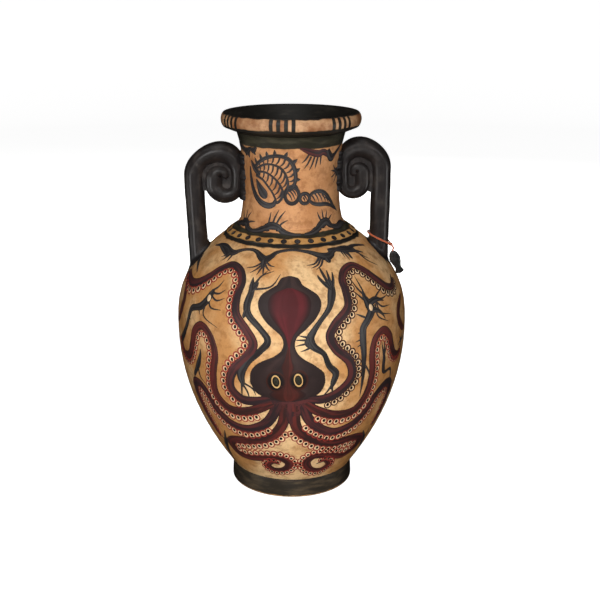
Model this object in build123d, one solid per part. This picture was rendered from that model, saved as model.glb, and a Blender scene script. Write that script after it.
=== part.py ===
"""Two-handled jar with volute handles: thrown sections, luted handles, a tied cord with a tag.

Millimetres, +Z up, base on z = 0, axis through the origin, handles along X, front towards -Y.
"""

import os
from math import atan2, cos, radians, sin, sqrt, tau

from build123d import *

# Fits shared by the joints
seat_gap = 0.2
curve_points = 9

# Foot ring and the rebate that takes the belly's base
foot_radius = 52.0
foot_flare = 0.5
foot_height = 16.4
foot_edge = 1.4
foot_ledge_radius = 42.5
foot_rebate_radius = 47.0
foot_rebate_depth = 3.4

# Body, thrown in two halves that meet at the widest line
wall = 5.5
floor_thickness = 6.5
belly_radius = 97.0
belly_height = 143.6
lower_fullness = 2.06
shoulder_top_radius = 53.6
shoulder_top_height = 221.1
upper_fullness = 2.57
shoulder_extra_wall = 2.5
shoulder_rim = 7.0
tongue_inset = 2.6
tongue_height = 4.0

# Collar over the joint of neck and shoulder
mouth_inset = 9.1
collar_overhang = 0.8
collar_edge = 0.6
collar_rise = 4.6
collar_top_inset = 4.7
collar_lip = 0.9
collar_seat_drop = 0.9

# Neck
neck_base_radius = 43.4
neck_base_rise = 3.3
neck_waist_radius = 40.0
neck_waist_rise = 28.0
neck_top_radius = 45.0
neck_top_rise = 47.5
neck_lower_curve = 2.3
neck_upper_curve = 3.4
neck_wall = 5.0
neck_spigot = 7.5
tenon_height = 2.0
tenon_width = 2.0

# Lip
lip_radius = 57.4
lip_rise = 15.5
lip_under_inset = 1.9
lip_under_rise = 4.3
lip_nose_rise = 8.9
lip_shoulder_inset = 1.5
lip_shoulder_drop = 0.8
lip_crest_inset = 3.0
lip_crest_width = 3.0

# Handles: a reeded roll that stands on the shoulder and curls in three half turns
stem_width = 16.2
stem_depth = 19.0
stem_bury = 9.0
reed_groove = 0.95
reed_sharpness = 8
section_points = 20
turn_step = 30
quarter_turn = 90
half_turn = 180
curl_width = 8.6
curl_depth = 16.0
eye_width = 6.6
eye_depth = 14.0
turn_gap = 0.3
heart_depth = 9.0
lute_thickness = 1.2
left_root_span = 37.6
left_stem_lean = 3.1
left_arch_drop = 32.9
left_side_width = 11.0
left_neck_bury = 0.0
left_scroll_drop = 11.0
left_curl_rise = 6.6
left_eye_drop = 5.0
right_root_span = 33.2
right_stem_lean = 1.2
right_arch_drop = 28.1
right_side_width = 10.0
right_neck_bury = 1.6
right_scroll_drop = 13.8
right_curl_rise = 11.5
right_eye_drop = 9.5

# Luted clay that joins the handles to the jar
neck_lute_height = 36.0
neck_lute_width = 14.0
neck_lute_reach = 4.5
root_lute_flare = 2.6
root_lute_rise = 4.0

# Cord tied round the right stem, its knot and the tag that hangs from it
cord_diameter = 1.6
cord_slack = 0.35
cord_rise = 10.65
cord_tilt = 24.0
cord_bend = 7.0
knot_radius = 2.2
knot_turn = 225.0
link_out = 2.6
link_fall = 5.4
link_bend = 1.6
hang_gap = 0.3
link_bite = 1.2
tag_thickness = 3.4
tag_length = 21.0
tag_top_width = 4.4
tag_lump_width = 9.6
tag_lump_at = 7.5
tag_waist_width = 4.8
tag_waist_at = 15.0
tag_tail_width = 8.2

# Heights and reaches that follow from the sizes above
mouth_radius = shoulder_top_radius - mouth_inset
collar_top_radius = shoulder_top_radius - collar_top_inset
collar_top = shoulder_top_height + collar_rise
flange_seat = collar_top - collar_seat_drop
flange_radius = collar_top_radius - collar_lip
floor_top = foot_height + floor_thickness - foot_rebate_depth
neck_base_height = collar_top + neck_base_rise
neck_waist_height = neck_base_height + neck_waist_rise
neck_top_height = neck_waist_height + neck_top_rise
lip_top = neck_top_height + lip_rise
left_root_reach = neck_waist_radius + left_root_span
left_arch_height = neck_top_height - left_arch_drop
right_root_reach = neck_waist_radius + right_root_span
right_arch_height = neck_top_height - right_arch_drop


def lower_radius(z):
    """Outside of the belly: it draws in from the widest line with a power of the depth below it."""
    depth = (belly_height - z) / (belly_height - foot_height)
    return belly_radius - (belly_radius - foot_radius) * max(depth, 0) ** lower_fullness


def upper_radius(z):
    """Outside of the shoulder: it draws in with a power of the height above the widest line."""
    rise = (z - belly_height) / (shoulder_top_height - belly_height)
    return belly_radius - (belly_radius - shoulder_top_radius) * max(rise, 0) ** upper_fullness


def upper_height(radius):
    """Height at which the shoulder's outside has a given radius."""
    share = (belly_radius - radius) / (belly_radius - shoulder_top_radius)
    return belly_height + (shoulder_top_height - belly_height) * share ** (1 / upper_fullness)


def shoulder_inside(z):
    """Inside of the shoulder, whose wall thickens towards the neck."""
    rise = (z - belly_height) / (shoulder_top_height - belly_height)
    return upper_radius(z) - wall - shoulder_extra_wall * rise ** 2


def neck_radius(z):
    """Outside of the neck: a waist that widens with a power of the distance, each way."""
    if z < neck_waist_height:
        share = (neck_waist_height - z) / (neck_waist_height - neck_base_height)
        return neck_waist_radius + (neck_base_radius - neck_waist_radius) * share ** neck_lower_curve
    share = (z - neck_waist_height) / (neck_top_height - neck_waist_height)
    return neck_waist_radius + (neck_top_radius - neck_waist_radius) * share ** neck_upper_curve


def curve(radius_of, low, high, outset=0.0):
    """A smooth profile edge through points of a radius law between two heights."""
    steps = [low + (high - low) * i / (curve_points - 1) for i in range(curve_points)]
    return Spline(*[(radius_of(z) + outset, z) for z in steps])


def turned(*edges):
    """The solid of revolution of a closed profile given in radius and height, its seam at the back."""
    return revolve(Plane.YZ * make_face(edges), Axis.Z)


def roll_section(width, depth):
    """Points of the roll's section: an oval with one shallow groove down its front and its back."""
    points = []
    for i in range(section_points):
        turn = tau * i / section_points
        dip = 1 - reed_groove / (stem_depth / 2) * sin(turn) ** reed_sharpness
        points.append((width / 2 * cos(turn), depth / 2 * sin(turn) * dip))
    return points


def blend(stations, turn):
    """Value at a turn of the roll, straight between the named stations."""
    for (turn_a, value_a), (turn_b, value_b) in zip(stations, stations[1:]):
        if turn <= turn_b:
            return value_a + (value_b - value_a) * (turn - turn_a) / (turn_b - turn_a)
    return stations[-1][1]


def handle(side, root_reach, stem_lean, arch_height, side_width, neck_bury, scroll_drop, curl_rise, eye_drop):
    """One handle: sections lofted up the stem and round three half turns, whose clay closes at the heart."""
    root_height = upper_height(root_reach) - stem_bury
    stem_reach = root_reach + stem_lean
    scroll_height = arch_height - scroll_drop
    stem_slope = stem_lean / (arch_height - root_height)
    stem_by_curl = stem_reach - stem_slope * scroll_drop
    neck_side = neck_radius(arch_height) + lute_thickness + side_width / 2 - neck_bury
    curl_side = stem_by_curl - (stem_width + curl_width) / 2 - turn_gap
    eye_side = neck_side + (side_width + eye_width) / 2 + turn_gap
    arch = (stem_reach - neck_side) / 2
    under = (curl_side - neck_side) / 2
    inner = (curl_side - eye_side) / 2
    arch_centre = (stem_reach - arch, arch_height)
    under_centre = (neck_side + under, scroll_height)
    inner_centre = (eye_side + inner, scroll_height + curl_rise)
    widths = [
        (0, stem_width),
        (quarter_turn, stem_width),
        (half_turn, side_width),
        (2 * half_turn, curl_width),
        (3 * half_turn, eye_width),
    ]
    depths = [
        (0, stem_depth),
        (quarter_turn, stem_depth),
        (2 * half_turn, curl_depth),
        (3 * half_turn, eye_depth),
    ]

    def station(reach, height, turn):
        """The roll's section at one point of its track, square to the way it runs there."""
        across = (side * cos(radians(turn)), 0, sin(radians(turn)))
        along = (-side * sin(radians(turn)), 0, cos(radians(turn)))
        outline = Spline(*roll_section(blend(widths, turn), blend(depths, turn)), periodic=True)
        return Plane((side * reach, 0, height), x_dir=across, z_dir=along) * make_face(outline)

    def bend(centre, radius, start):
        """Sections round half a turn about a centre."""
        turns = [start + turn_step * i for i in range(half_turn // turn_step + 1)]
        spots = [(radians(turn), turn) for turn in turns]
        return [station(centre[0] + radius * cos(a), centre[1] + radius * sin(a), turn) for a, turn in spots]

    over = bend(arch_centre, arch, 0)
    back = bend(under_centre, under, half_turn)
    curl = bend(inner_centre, inner, 2 * half_turn)
    root = station(root_reach, root_height, 0)
    eye = station(eye_side, inner_centre[1] - eye_drop, 3 * half_turn)
    runs = [[root, over[0]], over, [over[-1], back[0]], back, [back[-1], curl[0]], curl, [curl[-1], eye]]
    heart_low = curl_width / 2
    heart_corner = (stem_by_curl - stem_slope * heart_low, scroll_height - heart_low)
    heart_edges = [
        CenterArc(arch_centre, arch, 0, half_turn),
        Line((neck_side, arch_height), (neck_side, scroll_height)),
        CenterArc(under_centre, under, half_turn, half_turn),
        Line((curl_side, scroll_height), heart_corner),
        Line(heart_corner, (stem_reach, arch_height)),
    ]
    heart_face = Plane.XZ * make_face(heart_edges)
    if side < 0:
        heart_face = mirror(heart_face, Plane.YZ)
    heart = extrude(heart_face, heart_depth / 2, both=True)
    roll = heart
    for run in runs:
        roll += loft(run)
    return roll - shoulder_form - neck_form


def neck_lute(side, arch_height, scroll_drop, roll):
    """The clay pad pressed between the volute and the neck."""
    middle = arch_height - scroll_drop / 2
    oval = Ellipse(neck_lute_width / 2, neck_lute_height / 2)
    face = Plane((0, 0, middle), x_dir=(0, side, 0), z_dir=(side, 0, 0)) * oval
    pad = extrude(face, neck_radius(arch_height) + lute_thickness + neck_lute_reach)
    return pad - neck_core - roll


def root_lute(side, root_reach, roll):
    """The flared clay collar round the stem where it stands on the shoulder."""
    oval = Ellipse(stem_width / 2 + root_lute_flare, stem_depth / 2 + root_lute_flare)
    post = extrude(Pos(side * root_reach, 0, belly_height) * oval, shoulder_top_height)
    layer = post & (Pos(0, 0, root_lute_rise) * shoulder_form)
    return layer - shoulder_form - roll


# Forms of the jar's outside, used to seat the handles, the luted clay and the tag
shoulder_form = turned(
    Line((0, belly_height), (belly_radius, belly_height)),
    curve(upper_radius, belly_height, shoulder_top_height),
    Line((shoulder_top_radius, shoulder_top_height), (0, shoulder_top_height)),
    Line((0, shoulder_top_height), (0, belly_height)),
)
neck_core = turned(
    Line((0, neck_base_height), (neck_base_radius, neck_base_height)),
    curve(neck_radius, neck_base_height, neck_waist_height),
    curve(neck_radius, neck_waist_height, neck_top_height),
    Line((neck_top_radius, neck_top_height), (0, neck_top_height)),
    Line((0, neck_top_height), (0, neck_base_height)),
)
neck_form = turned(
    Line((0, neck_base_height), (neck_base_radius + lute_thickness, neck_base_height)),
    curve(neck_radius, neck_base_height, neck_waist_height, lute_thickness),
    curve(neck_radius, neck_waist_height, neck_top_height, lute_thickness),
    Line((neck_top_radius + lute_thickness, neck_top_height), (0, neck_top_height)),
    Line((0, neck_top_height), (0, neck_base_height)),
)

# Foot ring
foot_base_radius = foot_radius + foot_flare
rebate_wall = foot_rebate_radius + seat_gap
rebate_floor = foot_height - foot_rebate_depth
foot_corner = ThreePointArc(
    (foot_base_radius - foot_edge, 0),
    (foot_base_radius - foot_edge * (1 - sin(radians(45))), foot_edge * (1 - cos(radians(45)))),
    (foot_base_radius, foot_edge),
)
foot_ring = turned(
    Line((foot_ledge_radius, 0), (foot_base_radius - foot_edge, 0)),
    foot_corner,
    Polyline(
        (foot_base_radius, foot_edge),
        (foot_radius, foot_height),
        (rebate_wall, foot_height),
        (rebate_wall, rebate_floor),
        (foot_ledge_radius, rebate_floor),
        (foot_ledge_radius, 0),
    ),
)

# Belly: floor, wall and the tongue at its rim
tongue_radius = belly_radius - tongue_inset
belly_inside = belly_radius - wall
tongue_top = belly_height + tongue_height
belly = turned(
    curve(lower_radius, foot_height, belly_height),
    Polyline(
        (belly_radius, belly_height),
        (tongue_radius, belly_height),
        (tongue_radius, tongue_top),
        (belly_inside, tongue_top),
        (belly_inside, belly_height),
    ),
    curve(lower_radius, floor_top, belly_height, -wall),
    Polyline(
        (lower_radius(floor_top) - wall, floor_top),
        (0, floor_top),
        (0, rebate_floor),
        (foot_rebate_radius, rebate_floor),
        (foot_rebate_radius, foot_height),
        (foot_radius, foot_height),
    ),
)

# Shoulder: rebate over the tongue, wall, rim round the neck's spigot
step_top = tongue_top + seat_gap
rim_bottom = shoulder_top_height - shoulder_rim
shoulder = turned(
    curve(upper_radius, belly_height, shoulder_top_height),
    Polyline(
        (shoulder_top_radius, shoulder_top_height),
        (mouth_radius, shoulder_top_height),
        (mouth_radius, rim_bottom),
        (shoulder_inside(rim_bottom), rim_bottom),
    ),
    curve(shoulder_inside, step_top, rim_bottom),
    Polyline(
        (shoulder_inside(step_top), step_top),
        (tongue_radius + seat_gap, step_top),
        (tongue_radius + seat_gap, belly_height),
        (belly_radius, belly_height),
    ),
)

# Collar ring
collar_wall = flange_radius + seat_gap
collar_ring = turned(
    Polyline(
        (mouth_radius, shoulder_top_height),
        (shoulder_top_radius + collar_overhang, shoulder_top_height),
        (shoulder_top_radius + collar_overhang, shoulder_top_height + collar_edge),
        (collar_top_radius, collar_top),
        (collar_wall, collar_top),
        (collar_wall, flange_seat),
        (mouth_radius, flange_seat),
        (mouth_radius, shoulder_top_height),
    )
)

# Neck: spigot through collar and shoulder, flange on the collar, tenon at its top
spigot_radius = mouth_radius - seat_gap
spigot_inside = spigot_radius - neck_wall
spigot_bottom = shoulder_top_height - neck_spigot
neck_top_inside = neck_top_radius - neck_wall
tenon_out = neck_top_radius - (neck_wall - tenon_width) / 2
tenon_in = tenon_out - tenon_width
tenon_top = neck_top_height + tenon_height
neck = turned(
    curve(neck_radius, neck_base_height, neck_waist_height),
    curve(neck_radius, neck_waist_height, neck_top_height),
    Polyline(
        (neck_top_radius, neck_top_height),
        (tenon_out, neck_top_height),
        (tenon_out, tenon_top),
        (tenon_in, tenon_top),
        (tenon_in, neck_top_height),
        (neck_top_inside, neck_top_height),
    ),
    curve(neck_radius, neck_waist_height, neck_top_height, -neck_wall),
    curve(neck_radius, neck_base_height, neck_waist_height, -neck_wall),
    Polyline(
        (neck_base_radius - neck_wall, neck_base_height),
        (spigot_inside, spigot_bottom),
        (spigot_radius, spigot_bottom),
        (spigot_radius, flange_seat),
        (flange_radius, flange_seat),
        (flange_radius, collar_top),
        (neck_base_radius, neck_base_height),
    ),
)

# Lip: groove over the tenon, flared mouth inside, rolled nose outside
nose_low = (lip_radius - lip_under_inset, neck_top_height + lip_under_rise)
nose_middle = (lip_radius, neck_top_height + lip_nose_rise)
nose_high = (lip_radius - lip_shoulder_inset, lip_top - lip_shoulder_drop)
crest_inner = (nose_high[0] - lip_crest_width, nose_high[1])
lip = turned(
    Line((neck_top_radius, neck_top_height), nose_low),
    ThreePointArc(nose_low, nose_middle, nose_high),
    ThreePointArc(nose_high, (lip_radius - lip_crest_inset, lip_top), crest_inner),
    Polyline(
        crest_inner,
        (neck_top_inside, neck_top_height),
        (tenon_in - seat_gap, neck_top_height),
        (tenon_in - seat_gap, tenon_top + seat_gap),
        (tenon_out + seat_gap, tenon_top + seat_gap),
        (tenon_out + seat_gap, neck_top_height),
        (neck_top_radius, neck_top_height),
    ),
)

# Handles and the clay that lutes them on
left_handle = handle(
    -1, left_root_reach, left_stem_lean, left_arch_height, left_side_width,
    left_neck_bury, left_scroll_drop, left_curl_rise, left_eye_drop,
)
right_handle = handle(
    1, right_root_reach, right_stem_lean, right_arch_height, right_side_width,
    right_neck_bury, right_scroll_drop, right_curl_rise, right_eye_drop,
)
left_neck_lute = neck_lute(-1, left_arch_height, left_scroll_drop, left_handle)
right_neck_lute = neck_lute(1, right_arch_height, right_scroll_drop, right_handle)
left_root_lute = root_lute(-1, left_root_reach, left_handle)
right_root_lute = root_lute(1, right_root_reach, right_handle)

# Cord: one loop in a plane that dips outward, its two ends meeting in the knot
stem_foot = upper_height(right_root_reach)
cord_height = stem_foot + cord_rise
stem_centre = right_root_reach + right_stem_lean * cord_rise / (right_arch_height - stem_foot)
tilt = radians(cord_tilt)
loop_plane = Plane((stem_centre, 0, cord_height), x_dir=(cos(tilt), 0, -sin(tilt)), z_dir=(sin(tilt), 0, cos(tilt)))
loop_out = stem_width / 2 / cos(tilt) + cord_slack + cord_diameter / 2
loop_side = stem_depth / 2 + cord_slack + cord_diameter / 2
end_gap = knot_radius / 2
loop_route = FilletPolyline(
    (loop_out - end_gap, -loop_side),
    (-loop_out, -loop_side),
    (-loop_out, loop_side),
    (loop_out, loop_side),
    (loop_out, end_gap - loop_side),
    radius=cord_bend,
)
knot_place = loop_plane.from_local_coords((loop_out, -loop_side, 0))
cord_knot = Pos(knot_place) * Rot(0, 0, knot_turn) * Sphere(knot_radius)


def tube(route):
    """A round cord carried along its route."""
    return sweep(Plane(route @ 0, z_dir=route % 0) * Circle(cord_diameter / 2), route)


tie_cord = tube(loop_plane * loop_route) - cord_knot

# Tag: a flat pinched outline that hangs below the knot, its tail resting against the shoulder
tag_top = knot_place + Vector(link_out / 2, 0, -link_fall)
rest_radius = upper_radius(tag_top.Z - tag_length)
tail_reach = sqrt(rest_radius ** 2 - tag_top.Y ** 2) + tag_tail_width / 2 + hang_gap
lean = atan2(tail_reach - tag_top.X, tag_length)
tag_plane = Plane(tag_top, x_dir=(cos(lean), 0, sin(lean)), z_dir=(0, -1, 0))
tag_stops = [
    (tag_top_width / 2, 0),
    (tag_lump_width / 2, -tag_lump_at),
    (tag_waist_width / 2, -tag_waist_at),
    (tag_tail_width / 2, -tag_length),
]
tag_right = Spline(*tag_stops)
tag_left = Spline(*[(-half, down) for half, down in tag_stops])
tag_ends = [Line(tag_right @ 0, tag_left @ 0), Line(tag_right @ 1, tag_left @ 1)]
tag_body = extrude(tag_plane * make_face([tag_right, tag_left, *tag_ends]), tag_thickness / 2, both=True)
seal_tag = tag_body - Pos(0, 0, hang_gap) * shoulder_form - right_root_lute

# Link: the short bight of cord between knot and tag
bight = Vector(link_out, 0, -link_fall / 2)
link_route = FilletPolyline(
    knot_place + bight.normalized() * end_gap,
    knot_place + bight,
    tag_top + Vector(sin(lean), 0, -cos(lean)) * link_bite,
    radius=link_bend,
)
knot_room = Pos(knot_place) * Rot(0, 0, knot_turn) * Sphere(knot_radius + hang_gap)
tag_link = tube(link_route) - tag_body - knot_room
print("cord bends in mm:", cord_bend, link_bend)

# One file for each piece
pieces = {
    "foot_ring": foot_ring,
    "belly": belly,
    "shoulder": shoulder,
    "collar_ring": collar_ring,
    "neck": neck,
    "lip": lip,
    "left_handle": left_handle,
    "right_handle": right_handle,
    "left_neck_lute": left_neck_lute,
    "right_neck_lute": right_neck_lute,
    "left_root_lute": left_root_lute,
    "right_root_lute": right_root_lute,
    "tie_cord": tie_cord,
    "cord_knot": cord_knot,
    "tag_link": tag_link,
    "seal_tag": seal_tag,
}
os.makedirs("parts", exist_ok=True)
for name, piece in pieces.items():
    export_step(piece, f"parts/{name}.step")
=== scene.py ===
"""Two-handled painted jar: turned clay walls, reeded volute handles, slip painting, a tied cord and its tag.

Lengths are millimetres until a piece becomes a mesh. A place on the jar's wall is an angle in degrees, from
the front towards the right hand, and a height above the ground.
"""

import math
from functools import partial

import bmesh
import bpy
import numpy as np
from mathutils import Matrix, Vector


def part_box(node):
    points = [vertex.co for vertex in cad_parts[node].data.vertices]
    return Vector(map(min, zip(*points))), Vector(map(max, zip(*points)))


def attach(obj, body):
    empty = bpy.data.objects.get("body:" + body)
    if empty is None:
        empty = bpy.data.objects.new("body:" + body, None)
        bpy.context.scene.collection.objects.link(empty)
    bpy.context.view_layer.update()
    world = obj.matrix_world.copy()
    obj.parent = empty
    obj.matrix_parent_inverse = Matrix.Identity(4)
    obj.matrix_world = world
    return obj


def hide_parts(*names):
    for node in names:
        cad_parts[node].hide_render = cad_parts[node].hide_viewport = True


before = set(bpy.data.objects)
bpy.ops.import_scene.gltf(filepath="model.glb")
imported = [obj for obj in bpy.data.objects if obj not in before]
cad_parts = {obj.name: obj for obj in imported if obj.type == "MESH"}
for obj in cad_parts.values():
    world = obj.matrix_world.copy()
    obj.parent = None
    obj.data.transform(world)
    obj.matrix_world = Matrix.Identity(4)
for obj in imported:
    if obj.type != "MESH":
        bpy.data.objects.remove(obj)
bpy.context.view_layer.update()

MM = 0.001
X, Y, Z = 0, 1, 2


def low(node, axis):
    """Lowest reach of a CAD node along an axis, in millimetres."""
    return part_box(node)[0][axis] / MM


def high(node, axis):
    """Highest reach of a CAD node along an axis, in millimetres."""
    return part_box(node)[1][axis] / MM


# Foot and body
foot_base_radius = high("foot_ring", X)
foot_height = high("foot_ring", Z)
foot_radius = foot_base_radius - 0.5
foot_edge = 1.4
foot_ledge_radius = 42.5
foot_rebate_radius = 47.0
foot_rebate_depth = 3.4
wall_thickness = 5.5
floor_top = 19.5
belly_radius = high("belly", X)
belly_height = low("shoulder", Z)
lower_fullness = 2.06
shoulder_top = high("shoulder", Z)
shoulder_top_radius = 53.6
upper_fullness = 2.57
mouth_radius = 44.5
shoulder_rim = 7.0

# Collar, neck and lip
collar_radius = high("collar_ring", X)
collar_top = high("collar_ring", Z)
collar_top_radius = 48.9
collar_edge = 0.6
flange_radius = high("neck", X)
flange_seat = collar_top - 0.9
neck_base_radius = 43.4
neck_base_height = collar_top + 3.3
flare_corner = (neck_base_radius + 1.0, collar_top + 1.6)
flare_top = neck_base_height + 2.0
neck_waist_radius = 40.0
neck_waist_height = neck_base_height + 28.0
neck_top_radius = 45.0
neck_top = low("lip", Z)
neck_lower_curve = 2.3
neck_upper_curve = 3.4
neck_wall = 5.0
neck_bottom = low("neck", Z)
lip_top = high("lip", Z)
lip_radius = 57.4
lip_nose_low = (lip_radius - 1.9, neck_top + 4.3)
lip_nose = (lip_radius, neck_top + 8.9)
lip_nose_high = (lip_radius - 1.5, lip_top - 0.8)
lip_crest = (lip_radius - 3.0, lip_top)
lip_crest_inner = (lip_radius - 4.5, lip_top - 0.8)

# How far the thrown wall strays from true
oval_stray = 0.14
oval_phase = 0.7
lobe_stray = 0.10
lobe_pitch = 38.0
ridge_stray = 0.05
ridge_pitch = 9.0
ridge_sway = 0.6

# Mesh fineness
wall_sectors = 288
wall_rows = 84
section_sides = 44
lute_sides = 80
lute_rows = 90
twine_sides = 18
knot_steps = 120
tag_sides = 36
tag_rows = 70
weld_distance = 0.002
crease_angle = 40.0


def body_radius(z):
    """Outside of belly and shoulder: drawn in, under and over the widest line, by a power of the distance."""
    depth = np.clip((belly_height - z) / (belly_height - foot_height), 0, None)
    rise = np.clip((z - belly_height) / (shoulder_top - belly_height), 0, None)
    drawn_low = (belly_radius - foot_radius) * depth ** lower_fullness
    drawn_high = (belly_radius - shoulder_top_radius) * rise ** upper_fullness
    return belly_radius - drawn_low - drawn_high


def body_height(radius):
    """Height at which the shoulder's outside has a given radius."""
    share = (belly_radius - radius) / (belly_radius - shoulder_top_radius)
    return belly_height + (shoulder_top - belly_height) * np.clip(share, 0, 1) ** (1 / upper_fullness)


def neck_radius(z):
    """Outside of the neck: a waist that widens, each way, with a power of the distance."""
    under = np.clip((neck_waist_height - z) / (neck_waist_height - neck_base_height), 0, None)
    over = np.clip((z - neck_waist_height) / (neck_top - neck_waist_height), 0, None)
    widened_low = (neck_base_radius - neck_waist_radius) * under ** neck_lower_curve
    widened_high = (neck_top_radius - neck_waist_radius) * over ** neck_upper_curve
    return neck_waist_radius + widened_low + widened_high


def bowed(first, corner, last, steps):
    """Points of a soft bend from one point to another, drawn towards a corner."""
    t = np.linspace(0, 1, steps)[:, None]
    return (1 - t) ** 2 * np.array(first) + 2 * t * (1 - t) * np.array(corner) + t ** 2 * np.array(last)


def neck_skin(z):
    """Outside of the neck with the flare at its foot, where a soft bend runs out onto the flange."""
    reach, height = bowed((flange_radius, collar_top), flare_corner, (neck_base_radius, flare_top), 40).T
    return np.where(z < flare_top, np.interp(z, height, reach), neck_radius(z))


def collar_slope(z):
    """Outside of the collar: a straight slope between its foot and its top."""
    share = (z - shoulder_top - collar_edge) / (collar_top - shoulder_top - collar_edge)
    return collar_radius + (collar_top_radius - collar_radius) * np.clip(share, 0, 1)


def stray(angle, z):
    """How far the thrown wall stands off its true circle: two slow waves round it and fine ridges up it."""
    slow = oval_stray * np.sin(2 * angle + oval_phase) + lobe_stray * np.sin(3 * angle + z / lobe_pitch)
    return slow + ridge_stray * np.sin(math.tau * z / ridge_pitch + ridge_sway * np.sin(angle))


def slope_of(radius_of, z):
    """How much a wall's radius grows for each millimetre of height."""
    return radius_of(z + 0.5) - radius_of(z - 0.5)


def slant_of(radius_of, z):
    """Length along a wall for each millimetre of height."""
    return np.sqrt(1 + slope_of(radius_of, z) ** 2)


def around(radius, angle, z):
    """Points at a radius from the axis and an angle from the front, towards the right hand."""
    return np.stack([radius * np.sin(angle), -radius * np.cos(angle), z], -1)


def on_wall(radius_of, degrees, z, lift):
    """Points on a turned wall: radius law plus stray, moved out along the wall's normal by the lift."""
    angle = np.radians(degrees)
    steep = slant_of(radius_of, z)
    radius = radius_of(z) + stray(angle, z) + lift / steep
    return around(radius, angle, z - lift * slope_of(radius_of, z) / steep)


def full_turn(count):
    """Even angles once round."""
    return np.linspace(0, math.tau, count, endpoint=False)


# Mesh making

def grid_quads(count, rows, cols, wrap_rows, wrap_cols):
    """Corner numbers of the quads of several equal grids; a wrapped side joins its end to its start."""
    k = np.arange(count)[:, None, None] * rows * cols
    i = np.arange(rows if wrap_rows else rows - 1)[None, :, None]
    j = np.arange(cols if wrap_cols else cols - 1)[None, None, :]
    i_next = (i + 1) % rows
    j_next = (j + 1) % cols
    corners = [k + i * cols + j, k + i * cols + j_next, k + i_next * cols + j_next, k + i_next * cols + j]
    return np.stack(np.broadcast_arrays(*corners), -1).reshape(-1, 4)


class Sheet:
    """Equal grids of points, (count, rows, columns, 3), with the brush's own coordinates beside them."""

    def __init__(self, points, wrap_rows=False, wrap_cols=False, brush=None):
        self.points = points if points.ndim == 4 else points[None]
        self.wrap = (wrap_rows, wrap_cols)
        shape = self.points.shape
        self.brush = np.zeros(shape) if brush is None else np.broadcast_to(brush, shape)


def make_object(name, sheets, finish):
    """A mesh object of sheets, poles and seams merged and faces turned outwards."""
    points = np.concatenate([s.points.reshape(-1, 3) for s in sheets])
    brush = np.concatenate([s.brush.reshape(-1, 3) for s in sheets])
    quads = []
    start = 0
    for s in sheets:
        count, rows, cols = s.points.shape[:3]
        quads.append(start + grid_quads(count, rows, cols, *s.wrap))
        start += count * rows * cols
    quads = np.concatenate(quads)
    mesh = bpy.data.meshes.new(name)
    mesh.vertices.add(len(points))
    mesh.vertices.foreach_set("co", (points * MM).astype(np.float32).ravel())
    mesh.loops.add(quads.size)
    mesh.loops.foreach_set("vertex_index", quads.astype(np.int32).ravel())
    mesh.polygons.add(len(quads))
    mesh.polygons.foreach_set("loop_start", np.arange(0, quads.size, 4, dtype=np.int32))
    mesh.update(calc_edges=True)
    marks = mesh.attributes.new("brush", "FLOAT_VECTOR", "POINT")
    marks.data.foreach_set("vector", brush.astype(np.float32).ravel())
    work = bmesh.new()
    work.from_mesh(mesh)
    bmesh.ops.remove_doubles(work, verts=work.verts, dist=weld_distance * MM)
    bmesh.ops.recalc_face_normals(work, faces=work.faces)
    work.to_mesh(mesh)
    work.free()
    mesh.polygons.foreach_set("use_smooth", np.ones(len(mesh.polygons), bool))
    mesh.set_sharp_from_angle(angle=math.radians(crease_angle))
    mesh.materials.append(finish)
    made = bpy.data.objects.new(name, mesh)
    bpy.context.scene.collection.objects.link(made)
    return made


def make_piece(name, sheets, finish, body="jar", stands_for=()):
    """A piece of the object, riding on one of its bodies in place of some CAD nodes."""
    made = make_object(name, sheets, finish)
    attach(made, body)
    if stands_for:
        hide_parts(*stands_for)
    return made


# Finishes
NOISE = "ShaderNodeTexNoise"
MATH = "ShaderNodeMath"
VECTOR = "ShaderNodeVectorMath"
RANGE = "ShaderNodeMapRange"
MIX = "ShaderNodeMix"
MAPPING = "ShaderNodeMapping"
SPLIT = "ShaderNodeSeparateXYZ"
BUMP = "ShaderNodeBump"
PLACE = "ShaderNodeTexCoord"
BRUSH = "ShaderNodeAttribute"
SOFT = dict(interpolation_type="SMOOTHSTEP")
COLOUR = dict(out=2, data_type="RGBA")
clay_rough = 0.50
band_rough = 0.38
dull = 0.18
satin = 0.4


def linear(code):
    """A colour for a socket from an sRGB hex code."""
    parts = np.array([int(code[i:i + 2], 16) for i in (1, 3, 5)]) / 255
    bright = np.where(parts <= 0.04045, parts / 12.92, ((parts + 0.055) / 1.055) ** 2.4)
    return (*bright.tolist(), 1.0)


def feed(node, feeds):
    """Sets a node's sockets, each to a value or to another node's output."""
    for key, value in feeds.items():
        if isinstance(value, bpy.types.NodeSocket):
            node.id_data.links.new(value, node.inputs[key])
        else:
            node.inputs[key].default_value = value


def add(tree, kind, feeds=None, out=0, **settings):
    """Adds one node with its settings and feeds, and gives back one of its outputs."""
    made = tree.nodes.new(kind)
    for key, value in settings.items():
        setattr(made, key, value)
    feed(made, feeds or {})
    return made.outputs[out]


def start_finish(name):
    """A new material, its way of adding nodes, its shader and the place on the piece that patterns read."""
    made = bpy.data.materials.new(name)
    made.use_nodes = True
    put = partial(add, made.node_tree)
    return made, put, made.node_tree.nodes["Principled BSDF"], put(PLACE, out="Object")


def per_metre(millimetres):
    """Noise scale whose features are about that many millimetres across."""
    return 1 / (millimetres * MM)


# Body clay: paler mid front and back, browner and darker towards left and right, even on the shoulder
sides_pale_within = 20.0
sides_brown_beyond = 56.0
sides_full_below = 182.0
sides_even_above = 206.0
sides_tone_lean = 0.12

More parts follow.
